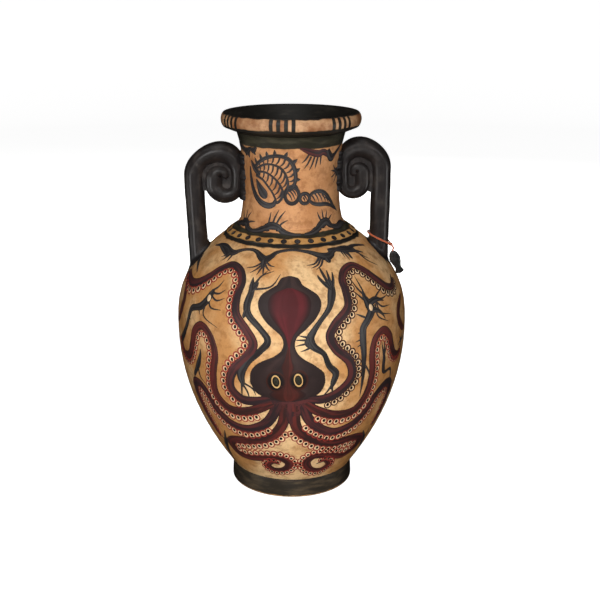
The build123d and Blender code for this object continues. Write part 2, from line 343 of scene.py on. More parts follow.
# Clay: its broad clouds, then marks of sponge, smoke and grit: size, detail, roughness, start, full, strength
broad_cloud = 34.0
clay_marks = [
    (6.5, 5.0, 0.66, 0.46, 0.64, 0.48), (15.0, 6.0, 0.66, 0.52, 0.74, 0.50),
    (2.2, 4.0, 0.70, 0.40, 0.78, 0.26),
]
grit_depth = 0.4

# Slip bands: how far the brush dragged, how far their edges waver and over what length, and how soft they are
band_slip = ("#211F1C", "#38342E")
drag_size = 22.0
drag_stretch = 5.0
band_waver = 1.2
band_waver_size = 9.0
band_soft = 0.35


def side_tone_shift(put, place):
    """How far the body's clouds lean to the paler or the browner tone."""
    out = put(MATH, {0: put(SPLIT, {"Vector": place}, "X")}, operation="ABSOLUTE")
    lean = put(RANGE, {
        "Value": out, "From Min": sides_pale_within * MM, "From Max": sides_brown_beyond * MM,
        "To Min": -sides_tone_lean, "To Max": sides_tone_lean,
    }, **SOFT)
    height = put(SPLIT, {"Vector": place}, "Z")
    kept = put(RANGE, {"Value": height, "From Min": sides_even_above * MM, "From Max": sides_full_below * MM}, **SOFT)
    return put(MATH, {0: lean, 1: kept}, operation="MULTIPLY")


def clay_tones(put, place, pale, warm, stain, sides_browner, cloud):
    """Sponged, burnished clay: clouds between two tones, sponge marks, smoky stains and, last, fine grit."""
    clouds = put(NOISE, {"Vector": place, "Scale": per_metre(cloud), "Detail": 4.0})
    # Clouds lean browner and darker towards left and right, paler in the middle of front and back
    if sides_browner:
        clouds = put(MATH, {0: clouds, 1: side_tone_shift(put, place)}, operation="ADD")
    clouds = put(RANGE, {"Value": clouds, "From Min": 0.36, "From Max": 0.66}, **SOFT)
    tone = put(MIX, {0: clouds, 6: linear(pale), 7: linear(warm)}, **COLOUR)
    for size, detail, roughness, begins, full, strength in clay_marks:
        mark = put(NOISE, {
            "Vector": place, "Scale": per_metre(size), "Detail": detail, "Roughness": roughness,
        })
        mark = put(RANGE, {"Value": mark, "From Min": begins, "From Max": full, "To Max": strength}, **SOFT)
        tone = put(MIX, {0: mark, 6: tone, 7: linear(stain)}, **COLOUR)
    return tone, mark


def slip_tones(put, place, dark, light):
    """Brushed iron slip: near black, thinner where the brush dragged round the wheel."""
    dragged = put(MAPPING, {"Vector": place, "Scale": (1.0, 1.0, drag_stretch)})
    drag = put(NOISE, {"Vector": dragged, "Scale": per_metre(drag_size), "Detail": 5.0, "Roughness": 0.6})
    drag = put(RANGE, {"Value": drag, "From Min": 0.42, "From Max": 0.80}, **SOFT)
    return put(MIX, {0: drag, 6: linear(dark), 7: linear(light)}, **COLOUR)


def painted_clay(
    name, pale, warm, stain, bands=(), inside=None, bars=False, slip=band_slip, sides_browner=False,
    cloud=broad_cloud,
):
    """Fired earthenware, burnished with a cloth, with bands of black slip.

    The clay gives the eye soft cloudy ochres and a low sheen; the slip is darker and a little glossier.
    A band is a pair of heights, its edge wavering by half a millimetre as a brush does. Inside a given radius
    all is slip.
    """
    made, put, shader, place = start_finish(name)
    tone, grit = clay_tones(put, place, pale, warm, stain, sides_browner, cloud)
    waver = put(NOISE, {"Vector": place, "Scale": per_metre(band_waver_size), "Detail": 2.0})
    waver = put(RANGE, {"Value": waver, "To Min": -band_waver * MM, "To Max": band_waver * MM})
    height = put(MATH, {0: put(SPLIT, {"Vector": place}, "Z"), 1: waver}, operation="ADD")
    soft = band_soft * MM
    masks = []
    for bottom, top in bands:
        start = bottom * MM
        end = top * MM
        above = put(RANGE, {"Value": height, "From Min": start - soft, "From Max": start + soft}, **SOFT)
        below = put(RANGE, {"Value": height, "From Min": end + soft, "From Max": end - soft}, **SOFT)
        masks.append(put(MATH, {0: above, 1: below}, operation="MULTIPLY"))
    if inside is not None:
        flat = put(VECTOR, {0: place, 1: (1.0, 1.0, 0.0)}, operation="MULTIPLY")
        radius = put(VECTOR, {0: flat}, "Value", operation="LENGTH")
        radius = put(MATH, {0: radius, 1: waver}, operation="ADD")
        masks.append(put(RANGE, {
            "Value": radius, "From Min": inside * MM + soft, "From Max": inside * MM - soft,
        }, **SOFT))
    if bars:
        masks.append(lip_bars(put, place, waver))
    rough = clay_rough
    if masks:
        painted = masks[0]
        for mask in masks[1:]:
            painted = put(MATH, {0: painted, 1: mask}, operation="MAXIMUM")
        tone = put(MIX, {0: painted, 6: tone, 7: slip_tones(put, place, *slip)}, **COLOUR)
        rough = put(RANGE, {"Value": painted, "To Min": clay_rough, "To Max": band_rough})
    relief = put(BUMP, {"Height": grit, "Distance": grit_depth * MM, "Strength": 0.5})
    feed(shader, {"Base Color": tone, "Roughness": rough, "Specular IOR Level": dull, "Normal": relief})
    return made


# Bars across the lip, in degrees round it; the spare groups keep their count above zero
lip_groups = 7
lip_bar_pitch = 5.9
lip_bar_half = 1.6
lip_bar_soft = 0.25
lip_bar_waver = 0.35
lip_bars_each = 4
lip_bars_turn = 6.5
lip_group_soft = 0.1
spare_groups = 100


def lip_bars(put, place, waver):
    """Groups of short bars round the lip, worked out from the angle about the jar's axis."""
    forward = put(MATH, {0: put(SPLIT, {"Vector": place}, "Y"), 1: -1.0}, operation="MULTIPLY")
    angle = put(MATH, {0: put(SPLIT, {"Vector": place}, "X"), 1: forward}, operation="ARCTAN2")
    degrees = put(MATH, {0: angle, 1: 180 / math.pi, 2: lip_bars_turn}, operation="MULTIPLY_ADD")
    degrees = put(MATH, {0: waver, 1: lip_bar_waver / MM, 2: degrees}, operation="MULTIPLY_ADD")
    span = 360 / lip_groups
    groups = put(MATH, {0: degrees, 1: 1 / span, 2: spare_groups + 0.5}, operation="MULTIPLY_ADD")
    share = put(MATH, {0: groups}, operation="FRACT")
    local = put(MATH, {0: share, 1: span, 2: -span / 2}, operation="MULTIPLY_ADD")
    folded = put(MATH, {0: local, 1: lip_bar_pitch / 2}, operation="PINGPONG")
    edge = lip_bar_pitch / 2 - lip_bar_half
    bar = put(RANGE, {
        "Value": folded, "From Min": edge - lip_bar_soft, "From Max": edge + lip_bar_soft,
    }, **SOFT)
    reach = lip_bar_pitch * lip_bars_each / 2
    away = put(MATH, {0: local}, operation="ABSOLUTE")
    within = put(RANGE, {
        "Value": away, "From Min": reach + lip_group_soft, "From Max": reach - lip_group_soft,
    }, **SOFT)
    return put(MATH, {0: bar, 1: within}, operation="MULTIPLY")


# Brushed slip: how far apart the strokes' streaks lie in the noise, how the pooled sides waver, and its grain
stroke_apart = 17.0
streaks_across = 0.8
streak_scale = 1.9
pool_waver = 0.5
pool_full = 1.15
slip_grain = 1.4
slip_grain_depth = 0.06


def brushed_slip(name, edge, core, deep=None, rough=0.42, core_share=0.75, streak_pitch=60.0):
    """Slip laid with a brush: it pools dark along the stroke's sides and shows hair streaks along its middle.

    It reads the brush attribute: millimetres along the stroke, -1 to 1 across it, and each stroke's number.
    """
    made, put, shader, place = start_finish(name)
    brush = put(BRUSH, None, "Vector", attribute_name="brush")
    hairs = put(MAPPING, {"Vector": brush, "Scale": (1 / streak_pitch, streaks_across, stroke_apart)})
    streaks = put(NOISE, {"Vector": hairs, "Scale": streak_scale, "Detail": 5.0})
    side = put(MATH, {0: put(SPLIT, {"Vector": brush}, "Y")}, operation="ABSOLUTE")
    side = put(MATH, {0: streaks, 1: pool_waver, 2: side}, operation="MULTIPLY_ADD")
    pooled = put(RANGE, {"Value": side, "From Min": core_share, "From Max": pool_full}, **SOFT)
    drag = put(RANGE, {"Value": streaks, "From Min": 0.42, "From Max": 0.62}, **SOFT)
    tone = put(MIX, {0: drag, 6: linear(deep or edge), 7: linear(core)}, **COLOUR)
    tone = put(MIX, {0: pooled, 6: tone, 7: linear(edge)}, **COLOUR)
    grain = put(NOISE, {"Vector": place, "Scale": per_metre(slip_grain), "Detail": 3.0})
    relief = put(BUMP, {"Height": grain, "Distance": slip_grain_depth * MM, "Strength": 0.4})
    feed(shader, {"Base Color": tone, "Roughness": rough, "Specular IOR Level": dull, "Normal": relief})
    return made


# Slip on hand-built clay: its rubbed patches, how much duller they are, and the depth of finger marks
rubbed_size = 9.0
rubbed_dulling = 0.14
finger_depth = 0.35


def slipped_clay(name, dark, light, rough, lumps):
    """Hand-built clay under black slip: satin, greyer where it is rubbed, with finger-smoothed hollows."""
    made, put, shader, place = start_finish(name)
    rubbed = put(NOISE, {"Vector": place, "Scale": per_metre(rubbed_size), "Detail": 5.0, "Roughness": 0.6})
    rubbed = put(RANGE, {"Value": rubbed, "From Min": 0.46, "From Max": 0.80}, **SOFT)
    tone = put(MIX, {0: rubbed, 6: linear(dark), 7: linear(light)}, **COLOUR)
    sheen = put(RANGE, {"Value": rubbed, "To Min": rough, "To Max": rough + rubbed_dulling})
    hollows = put(NOISE, {"Vector": place, "Scale": per_metre(lumps), "Detail": 4.0})
    relief = put(BUMP, {"Height": hollows, "Distance": finger_depth * MM, "Strength": 0.55})
    feed(shader, {"Base Color": tone, "Roughness": sheen, "Specular IOR Level": satin, "Normal": relief})
    return made


# Twine and wax: fibres, clouds and pits, with their depths
fibre_size = 0.5
fibre_depth = 0.12
wax_cloud = 4.0
wax_pit = 1.6
wax_pit_depth = 0.25


def waxed_cord(name):
    """Waxed orange twine: dull fibres that darken between the strands, with a faint waxy sheen."""
    made, put, shader, place = start_finish(name)
    fibre = put(NOISE, {"Vector": place, "Scale": per_metre(fibre_size), "Detail": 4.0, "Roughness": 0.7})
    tone = put(MIX, {0: fibre, 6: linear("#762C15"), 7: linear("#C26335")}, **COLOUR)
    relief = put(BUMP, {"Height": fibre, "Distance": fibre_depth * MM, "Strength": 0.6})
    feed(shader, {"Base Color": tone, "Roughness": 0.6, "Sheen Weight": 0.2, "Normal": relief})
    return made


def seal_wax(name):
    """Dark pressed sealing wax: near black with a wet gloss and small pits from the mould."""
    made, put, shader, place = start_finish(name)
    cloud = put(NOISE, {"Vector": place, "Scale": per_metre(wax_cloud), "Detail": 4.0})
    tone = put(MIX, {0: cloud, 6: linear("#121111"), 7: linear("#2C2A28")}, **COLOUR)
    pits = put(NOISE, {"Vector": place, "Scale": per_metre(wax_pit), "Detail": 3.0})
    relief = put(BUMP, {"Height": pits, "Distance": wax_pit_depth * MM, "Strength": 0.6})
    feed(shader, {"Base Color": tone, "Roughness": 0.22, "IOR": 1.5, "Normal": relief})
    return made


# Turned sections of the jar

def arc_through(first, middle, last, steps):
    """Points of the circle arc through three points."""
    ax, ay = first
    bx, by = middle
    cx, cy = last
    d = 2 * (ax * (by - cy) + bx * (cy - ay) + cx * (ay - by))
    a2, b2, c2 = (x * x + y * y for x, y in (first, middle, last))
    ux = (a2 * (by - cy) + b2 * (cy - ay) + c2 * (ay - by)) / d
    uy = (a2 * (cx - bx) + b2 * (ax - cx) + c2 * (bx - ax)) / d
    turns = np.unwrap([math.atan2(y - uy, x - ux) for x, y in (first, middle, last)])
    t = np.linspace(turns[0], turns[2], steps)
    radius = math.hypot(ax - ux, ay - uy)
    return np.stack([ux + radius * np.cos(t), uy + radius * np.sin(t)], -1)


def law_line(radius_of, bottom, top, steps, outset=0.0):
    """Profile points of a radius law between two heights."""
    z = np.linspace(bottom, top, steps)
    return np.stack([radius_of(z) + outset, z], -1)


def turned(*runs, closed=True):
    """A profile of radius and height carried round the axis, with the wall's stray added to its radius."""
    profile = np.concatenate([np.atleast_2d(np.array(run, float)) for run in runs])
    angle = full_turn(wall_sectors)[None, :]
    z = profile[:, 1][:, None] + 0 * angle
    radius = profile[:, 0][:, None]
    radius = radius + stray(angle, z) * np.clip(radius / neck_waist_radius, 0, 1)
    return Sheet(around(radius, angle, z), closed, True)


# Inside of the shoulder, small gaps and rounds, and the bands of slip from one height to another
shoulder_thickening = 2.5
joint_gap = 0.2
foot_round = 1.0
lip_throat = (46.0, 312.0)
foot_band = (1.5, 30.0)
shoulder_band = (218.9, 230.0)
collar_bands = [(218.0, 221.9), (225.3, 230.0)]
neck_bands = [(220.0, 228.3), (295.2, 312.0)]
neck_slip_radius = neck_waist_radius - 1.0
lip_band = (300.0, 310.9)
lip_slip_radius = 55.7
lip_cloud = 15.0


def shoulder_inside(z):
    """Inside of the shoulder, whose wall thickens towards the neck."""
    rise = (z - belly_height) / (shoulder_top - belly_height)
    return body_radius(z) - wall_thickness - shoulder_thickening * rise ** 2


def make_jar():
    """Foot, belly, shoulder, collar, neck and lip."""
    buff = ("#DFBA89", "#BF8952", "#8A5930")
    body_clay = painted_clay("burnished buff clay", *buff, bands=[shoulder_band], sides_browner=True)
    belly_clay = painted_clay("burnished buff clay low", *buff, sides_browner=True)
    neck_clay = painted_clay(
        "sponged orange clay", "#C69264", "#AE784B", "#7F4E2E", bands=neck_bands, inside=neck_slip_radius,
        slip=("#2A281F", "#4B4738"),
    )
    collar_clay = painted_clay("collar clay", "#C99B60", "#B3834A", "#85582F", bands=collar_bands)
    lip_clay = painted_clay(
        "lip clay", "#BF9670", "#946643", "#7A4C32", bands=[lip_band], inside=lip_slip_radius, bars=True,
        cloud=lip_cloud,
    )
    foot_slip = painted_clay(
        "foot slip", "#A88258", "#8C6844", "#6B4C30", bands=[foot_band], slip=("#2C2721", "#554838"),
    )
    rebate_floor = foot_height - foot_rebate_depth
    foot_corner = bowed(
        (foot_base_radius - foot_edge, 0), (foot_base_radius, 0), (foot_base_radius, foot_edge), 6,
    )
    foot_top = bowed(
        (foot_radius, foot_height - foot_round), (foot_radius, foot_height),
        (foot_radius - foot_round, foot_height), 6,
    )
    make_piece("painted_foot", [turned(
        (foot_ledge_radius, 0), foot_corner, foot_top,
        (foot_rebate_radius + joint_gap, foot_height), (foot_rebate_radius + joint_gap, rebate_floor),
        (foot_ledge_radius, rebate_floor),
    )], foot_slip, stands_for=["foot_ring"])
    inside_low = law_line(body_radius, floor_top, belly_height, wall_rows // 2, -wall_thickness)[::-1]
    make_piece("painted_belly", [turned(
        (0, rebate_floor), (foot_rebate_radius, rebate_floor), (foot_rebate_radius, foot_height),
        law_line(body_radius, foot_height, belly_height, wall_rows), inside_low, (0, floor_top), closed=False,
    )], belly_clay, stands_for=["belly"])
    rim_bottom = shoulder_top - shoulder_rim
    make_piece("painted_shoulder", [turned(
        law_line(body_radius, belly_height, shoulder_top, wall_rows),
        (mouth_radius, shoulder_top), (mouth_radius, rim_bottom),
        law_line(shoulder_inside, belly_height, rim_bottom, wall_rows // 2)[::-1],
    )], body_clay, stands_for=["shoulder"])
    seat_radius = flange_radius + joint_gap
    make_piece("dotted_collar", [turned(
        (mouth_radius, shoulder_top), (collar_radius, shoulder_top),
        law_line(collar_slope, shoulder_top + collar_edge, collar_top, 8),
        (seat_radius, collar_top), (seat_radius, flange_seat), (mouth_radius, flange_seat),
    )], collar_clay, stands_for=["collar_ring"])
    spigot_radius = mouth_radius - joint_gap
    make_piece("painted_neck", [turned(
        (flange_radius, flange_seat), (flange_radius, collar_top),
        bowed((flange_radius, collar_top), flare_corner, (neck_base_radius, flare_top), 16)[1:-1],
        law_line(neck_radius, flare_top, neck_top, wall_rows),
        law_line(neck_radius, neck_base_height, neck_top, wall_rows // 2, -neck_wall)[::-1],
        (spigot_radius - neck_wall, neck_bottom), (spigot_radius, neck_bottom), (spigot_radius, flange_seat),
    )], neck_clay, stands_for=["neck"])
    make_piece("barred_lip", [turned(
        (neck_top_radius, neck_top), bowed((neck_top_radius, neck_top), lip_nose_low, lip_nose_low, 4)[1:],
        arc_through(lip_nose_low, lip_nose, lip_nose_high, 24)[1:],
        arc_through(lip_nose_high, lip_crest, lip_crest_inner, 12)[1:],
        bowed(lip_crest_inner, lip_throat, (neck_top_radius - neck_wall, neck_top), 14)[1:],
    )], lip_clay, stands_for=["lip"])


make_jar()


# Handles: a reeded roll that stands on the shoulder and curls in three half turns and a hook
stem_width = 16.2
stem_depth = 19.0
stem_bury = 9.0
curl_depth = 16.0
eye_depth = 14.0
turn_gap = 0.3
heart_depth = 9.6
heart_dish = 1.4
heart_sweep = 145
lute_thickness = 1.2
most_climb = 1.5
roll_squareness = 2.1
arch_width = 18.5
eye_tip_width = 6.6
eye_sweep = 40
groove_depth = 0.085
groove_width = 1.5
even_span = 21
slow_swell = 0.012
slow_swell_run = 7.0
quick_swell = 0.010
quick_swell_run = 3.1
left_roll = dict(
    side=-1, root_reach=neck_waist_radius + 37.6, stem_lean=3.1, arch_height=neck_top - 32.9, side_width=11.0,
    neck_bury=2.4, scroll_drop=7.6, curl_rise=5.8, curl_width=16.5, over_width=10.0, eye_drop=1.0,
    eye_width=8.4, eye_turn=2.0, heart_drop=5.6, lean_in=3.2, sink=3.15, groove_place=0.55,
)
right_roll = dict(
    side=1, root_reach=neck_waist_radius + 33.2, stem_lean=1.2, arch_height=neck_top - 28.1, side_width=10.0,
    neck_bury=3.8, scroll_drop=12.6, curl_rise=8.9, curl_width=14.5, over_width=9.4, eye_drop=3.0,
    eye_width=7.0, eye_turn=2.0, heart_drop=11.2, lean_in=2.0, sink=1.75, groove_place=0.12,
)

# Clay luted round the stems' feet and between the scrolls and the neck
root_lute_flare = 3.2
root_lute_rise = 5.0
root_lute_curve = 1.6
root_lute_wall = 3.0
root_lute_sunk = 0.8
hem_waves = [(1.1, 3, 0.6), (0.7, 5, 2.0)]
neck_lute_height = 38.0
neck_lute_trims = {"left": 0.0, "right": 5.5}
neck_lute_half = 13.0
neck_lute_lump = 3.2
neck_lute_bulge = 3.4
lump_waves = [(0.3, 0.43, 1), (0.2, 1.07, 2)]
lump_even = 0.5
bulge_least = 0.75
bulge_gain = 0.4
neck_lute_lanes = 15


def bend_run(centre, radius, start, steps, sweep=180):
    """A bend about a centre, half a turn if not told: reach, height and how far the roll has turned."""
    turn = np.linspace(start, start + sweep, steps, endpoint=False)
    swing = np.radians(turn)
    return np.stack([centre[0] + radius * np.cos(swing), centre[1] + radius * np.sin(swing), turn])


def straight_run(first, last, turn, steps):
    """A straight stretch of the roll at one turn."""
    t = np.linspace(0, 1, steps, endpoint=False)
    return np.stack([first[0] + (last[0] - first[0]) * t, first[1] + (last[1] - first[1]) * t, turn + 0 * t])


def evened(values, span):
    """Values along a line, each the mean of those within a span about it."""
    return np.convolve(np.pad(values, span // 2, mode="edge"), np.ones(span) / span, "valid")


def squarish(spin, squareness):
    """An oval's two sides round its spin, squared off by a power."""
    power = 2 / squareness
    across = np.sign(np.cos(spin)) * np.abs(np.cos(spin)) ** power
    deep = np.sign(np.sin(spin)) * np.abs(np.sin(spin)) ** power
    return across, deep


def volute(
    side, root_reach, stem_lean, arch_height, side_width, neck_bury, scroll_drop, curl_rise, curl_width,
    over_width, eye_drop, eye_width, eye_turn, heart_drop, lean_in, sink, groove_place,
):
    """The roll and its heart.

    The roll is a squarish oval with a groove on its front and back, carried up the stem and round three half
    turns and a short hook that tighten. The heart is the clay plate between the turns, dished towards its
    middle. Above the scroll both lean in towards the neck with the square of the height.
    """
    arch_height = arch_height - sink
    root_height = body_height(root_reach) - stem_bury
    stem_reach = root_reach + stem_lean
    scroll_height = arch_height - scroll_drop
    stem_slope = stem_lean / (arch_height - root_height)
    stem_by_curl = stem_reach - stem_slope * scroll_drop
    neck_side = neck_radius(arch_height) + lute_thickness + side_width / 2 - neck_bury
    curl_side = stem_by_curl - (stem_width + curl_width) / 2 - turn_gap
    eye_side = neck_side + (side_width + eye_width) / 2 + turn_gap
    arch = (stem_reach - neck_side) / 2
    under = (curl_side - neck_side) / 2
    inner = (curl_side - eye_side) / 2
    curl_height = scroll_height + curl_rise
    over_arch = partial(bend_run, (stem_reach - arch, arch_height), arch, 0)
    down_neck = partial(straight_run, (neck_side, arch_height), (neck_side, scroll_height), 180)
    under_curl = partial(bend_run, (neck_side + under, scroll_height), under)
    track = np.concatenate([
        straight_run((root_reach, root_height), (stem_reach, arch_height), 0, 70),
        over_arch(56),
        down_neck(10),
        under_curl(180, 48),
        straight_run((curl_side, scroll_height), (curl_side, curl_height), 360, 8),
        bend_run((eye_side + inner, curl_height), inner, 360, 40),
        straight_run((eye_side, curl_height), (eye_side, curl_height - eye_drop), 540, 10),
        bend_run((eye_side + eye_turn, curl_height - eye_drop), eye_turn, 540, 30, eye_sweep),
    ], axis=1)
    reach, height, turn = track
    width = np.interp(turn, [0, 90, 180, 360, 450, 540, 540 + eye_sweep], [
        stem_width, arch_width, side_width, curl_width, over_width, eye_width, eye_tip_width,
    ])
    width = evened(width, even_span)
    depth = np.interp(turn, [0, 90, 360, 540], [stem_depth, stem_depth, curl_depth, eye_depth])
    depth = evened(depth, even_span)
    along = np.concatenate([[0], np.cumsum(np.hypot(np.diff(reach), np.diff(height)))])
    to_tip = np.clip((along - along[-1] + eye_tip_width / 2) / (eye_tip_width / 2), 0, 1)
    tip = np.sqrt(np.clip(1 - to_tip ** 2, 0, 1))
    tip[0] = 0
    hand = 1 + slow_swell * np.sin(along / slow_swell_run + side)
    hand = hand + quick_swell * np.sin(along / quick_swell_run)
    spin = full_turn(section_sides)[None, :]
    across, deep = squarish(spin, roll_squareness)
    across = across * (width * tip * hand)[:, None] / 2
    grooved = 1 - groove_depth * np.exp(-((across - groove_place * (width / 2)[:, None]) / groove_width) ** 2)
    deep = deep * grooved * (depth * tip)[:, None] / 2
    swing = np.radians(turn)[:, None]
    out = reach[:, None] + across * np.cos(swing)
    up = height[:, None] + across * np.sin(swing)
    roll = np.stack([out, deep, up], -1)
    corner = (stem_by_curl - stem_slope * heart_drop, scroll_height - heart_drop)
    under_end = under_curl(180 + heart_sweep, 1)[:2, 0]
    rim = np.concatenate([
        over_arch(30),
        down_neck(6),
        under_curl(180, 24, heart_sweep),
        straight_run(under_end, corner, 0, 4),
        straight_run(corner, (stem_reach, arch_height), 0, 6),
    ], axis=1)[:2]
    middle = rim.mean(1, keepdims=True)
    share = np.array([0.0, 0.5, 1.0, 1.0, 0.5, 0.0])[:, None]
    face = np.array([-1, -1, -1, 1, 1, 1])[:, None]
    ring = middle[:, None] + (rim - middle)[:, None] * share
    thick = face * (heart_depth / 2 - heart_dish * (1 - share)) + 0 * ring[0]
    heart = np.stack([ring[0], thick, ring[1]], -1)
    sheets = []
    for made in (roll, heart):
        climb = np.clip((made[..., Z] - scroll_height) / (arch_height + arch - scroll_height), 0, most_climb)
        made[..., X] = side * (made[..., X] - lean_in * climb ** 2)
        sheets.append(Sheet(made, False, True))
    return sheets


def root_lute(side, root_reach):
    """Clay smoothed round the stem's foot: an oval skirt that flares onto the shoulder, its hem wavering."""
    spin = full_turn(lute_sides)[None, :]
    t = np.array([0.0, 0.05, 0.2, 0.4, 0.6, 0.8, 1.0, 1.0, 0.0])[:, None]
    inner = np.array([0, 0, 0, 0, 0, 0, 0, 1, 1])[:, None]
    hem = sum(size * np.sin(count * spin + phase) for size, count, phase in hem_waves)
    flare = (root_lute_flare + hem * (1 - t)) * (1 - t) ** 2 * (1 - inner) - root_lute_wall * inner
    x = root_reach + (stem_width / 2 + flare) * np.cos(spin)
    y = (stem_depth / 2 + flare) * np.sin(spin)
    rise = root_lute_rise * t ** root_lute_curve - np.where(t > 0, 0.0, root_lute_sunk)
    z = body_height(np.hypot(x, y)) + rise
    return Sheet(np.stack([side * x, y, z], -1), True, True)


def neck_lute(side, middle, trim):
    """Clay pressed between scroll and neck: a thick ribbon up the neck, in two waves of lumps."""
    z = np.linspace(middle - neck_lute_height / 2 + trim, middle + neck_lute_height / 2, lute_rows)
    lump = lump_even + sum(size * np.sin(z * pitch + phase * side) for size, pitch, phase in lump_waves)
    width = neck_lute_half + neck_lute_lump * lump
    bulge = neck_lute_bulge * (bulge_least + bulge_gain * lump)
    return ribbon(neck_radius, side * 90 + 0 * z, z, width, bulge, neck_lute_lanes)


def make_handles():
    """Both volute handles and the clay that lutes them to the neck and the shoulder."""
    handle_slip = slipped_clay("black slip over handles", "#1E1A19", "#3A332F", 0.39, 6.0)
    lute_slip = slipped_clay("black slip over luted clay", "#191616", "#312B28", 0.42, 3.0)
    for word, roll in (("left", left_roll), ("right", right_roll)):
        side = roll["side"]
        pad = neck_lute(side, roll["arch_height"] - roll["scroll_drop"] / 2, neck_lute_trims[word])
        pieces = [
            ("volute", "handle", handle_slip, volute(**roll)),
            ("root_clay", "root_lute", lute_slip, [root_lute(side, roll["root_reach"])]),
            ("neck_clay", "neck_lute", lute_slip, [pad]),
        ]
        for piece, node, finish, sheets in pieces:
            make_piece(f"{word}_{piece}", sheets, finish, stands_for=[f"{word}_{node}"])


# Brush strokes: a lens-shaped ribbon of slip on the wall, its edges and floor just under the surface
edge_sunk = 0.03
floor_sunk = 0.08


def ribbon(radius_of, degrees, z, half_width, lift, lanes=7, number=0.0):
    """A stroke along a line of the wall: lanes at even shares of its half width, lifted as a shallow dome.

    The line's side is worked out flat, in millimetres round and up the wall, and laid back on it, so a wide
    stroke still follows it. The last lane runs under the wall's surface and closes the ribbon.
    """
    radius = radius_of(z)
    slant = slant_of(radius_of, z)
    go_round = np.gradient(np.radians(degrees)) * radius
    go_up = np.gradient(z) * slant
    length = np.maximum(np.hypot(go_round, go_up), 1e-9)
    share = np.concatenate([np.linspace(-1, 1, lanes), [0.0]])[None, :]
    dome = np.concatenate([np.sqrt(1 - np.linspace(-1, 1, lanes) ** 2), [0.0]])[None, :]
    half = np.broadcast_to(half_width, z.shape)[:, None] * share
    turned_by = np.degrees(-go_up / length / radius)[:, None] * half
    raised_by = (go_round / length / slant)[:, None] * half
    height = np.broadcast_to(lift, z.shape)[:, None] * dome
    height[:, [0, -2]] = -edge_sunk
    height[:, -1] = -floor_sunk
    points = on_wall(radius_of, degrees[:, None] + turned_by, z[:, None] + raised_by, height)
    along = np.cumsum(length)[:, None] + 0 * share
    brush = np.stack([along, share + 0 * along, number + 0 * along], -1)
    return Sheet(closed_ends(points), False, True, closed_ends(brush))


def closed_ends(rows):
    """Rows with one more at each end, drawn together to a point, so that the ribbon closes."""
    first = np.broadcast_to(rows[:1].mean(1, keepdims=True), rows[:1].shape)
    last = np.broadcast_to(rows[-1:].mean(1, keepdims=True), rows[-1:].shape)
    return np.concatenate([first, rows, last])


# Cord, knot and tag
cord_diameter = 1.6
strands = 3
strand_pitch = 4.5
strand_hollow = 0.16
cord_tilt = math.radians(24.0)
cord_rise = 10.65
cord_slack = 0.35
stem_foot = float(body_height(right_roll["root_reach"]))
stem_height = right_roll["arch_height"] - stem_foot
stem_centre = right_roll["root_reach"] + right_roll["stem_lean"] * cord_rise / stem_height
loop_out = stem_width / 2 / math.cos(cord_tilt) + cord_slack + cord_diameter / 2
loop_side = stem_depth / 2 + cord_slack + cord_diameter / 2
loop_across = np.array([math.cos(cord_tilt), 0.0, -math.sin(cord_tilt)])
loop_normal = np.array([math.sin(cord_tilt), 0.0, math.cos(cord_tilt)])
loop_middle = np.array([stem_centre, 0.0, stem_foot + cord_rise])
backward = np.array([0.0, 1.0, 0.0])
upward = np.array([0.0, 0.0, 1.0])


def in_loop(out, aside):
    """A point of the loop's plane, which dips outwards."""
    return loop_middle + loop_across * out + backward * aside


knot_radius = 2.2
knot_strand = cord_diameter / 3
knot_depth = 1.4
knot_place = in_loop(loop_out, -loop_side)
loop_route = [
    in_loop(loop_out - knot_radius / 2, -loop_side),
    in_loop(-loop_out, -loop_side),
    in_loop(-loop_out, loop_side),
    in_loop(loop_out, loop_side),
    in_loop(loop_out, knot_radius / 2 - loop_side),
]
link_out = 2.6
link_fall = 5.4
link_bow = 1.15
link_above = 0.6
link_aside = 0.9
link_inside = 2.0
tag_top = knot_place + np.array([link_out / 2, 0.0, -link_fall])
tag_length = 21.0
tag_thickness = 3.4
tag_halves = [(0.0, 1.6), (3.0, 3.7), (7.5, 4.8), (11.5, 3.9), (15.0, 2.4), (18.5, 3.2), (21.0, 4.1)]
tag_thick_shares = [(0, 0.7), (4, 1.0), (8, 1.0), (14, 0.8), (18, 0.62), (21, 0.5)]
tag_squareness = 2.5
tag_even_span = 9
tag_ripple = 0.05
tag_ripple_turn = 0.9
tag_head_round = 1.4
tag_tail_round = 0.7
tag_tail_width = 8.2
tag_tail_start = 16.0
tag_tail_run = 5.0
tag_tail_dish = 1.1
hang_gap = 0.3
rest_reach = math.sqrt(float(body_radius(tag_top[Z] - tag_length)) ** 2 - tag_top[Y] ** 2)
tag_lean = math.atan2(rest_reach + tag_tail_width / 2 + hang_gap - tag_top[X], tag_length)
tag_spine = np.array([math.sin(tag_lean), 0.0, -math.cos(tag_lean)])
tag_across = np.array([math.cos(tag_lean), 0.0, math.sin(tag_lean)])


def route_line(route):
    """Points along the smooth line that a route's points control, read from its spline."""
    data = bpy.data.curves.new("route", "CURVE")
    data.dimensions = "3D"
    data.resolution_u = 24
    spline = data.splines.new("NURBS")
    spline.points.add(len(route) - 1)
    spline.points.foreach_set("co", np.array([[*(p * MM), 1.0] for p in route], np.float32).ravel())
    spline.order_u = 3
    spline.use_endpoint_u = True
    carrier = bpy.data.objects.new("route", data)
    mesh = bpy.data.meshes.new_from_object(carrier)
    points = np.empty(len(mesh.vertices) * 3, np.float32)
    mesh.vertices.foreach_get("co", points)
    bpy.data.objects.remove(carrier)
    bpy.data.curves.remove(data)
    bpy.data.meshes.remove(mesh)
    return points.reshape(-1, 3).astype(float) / MM


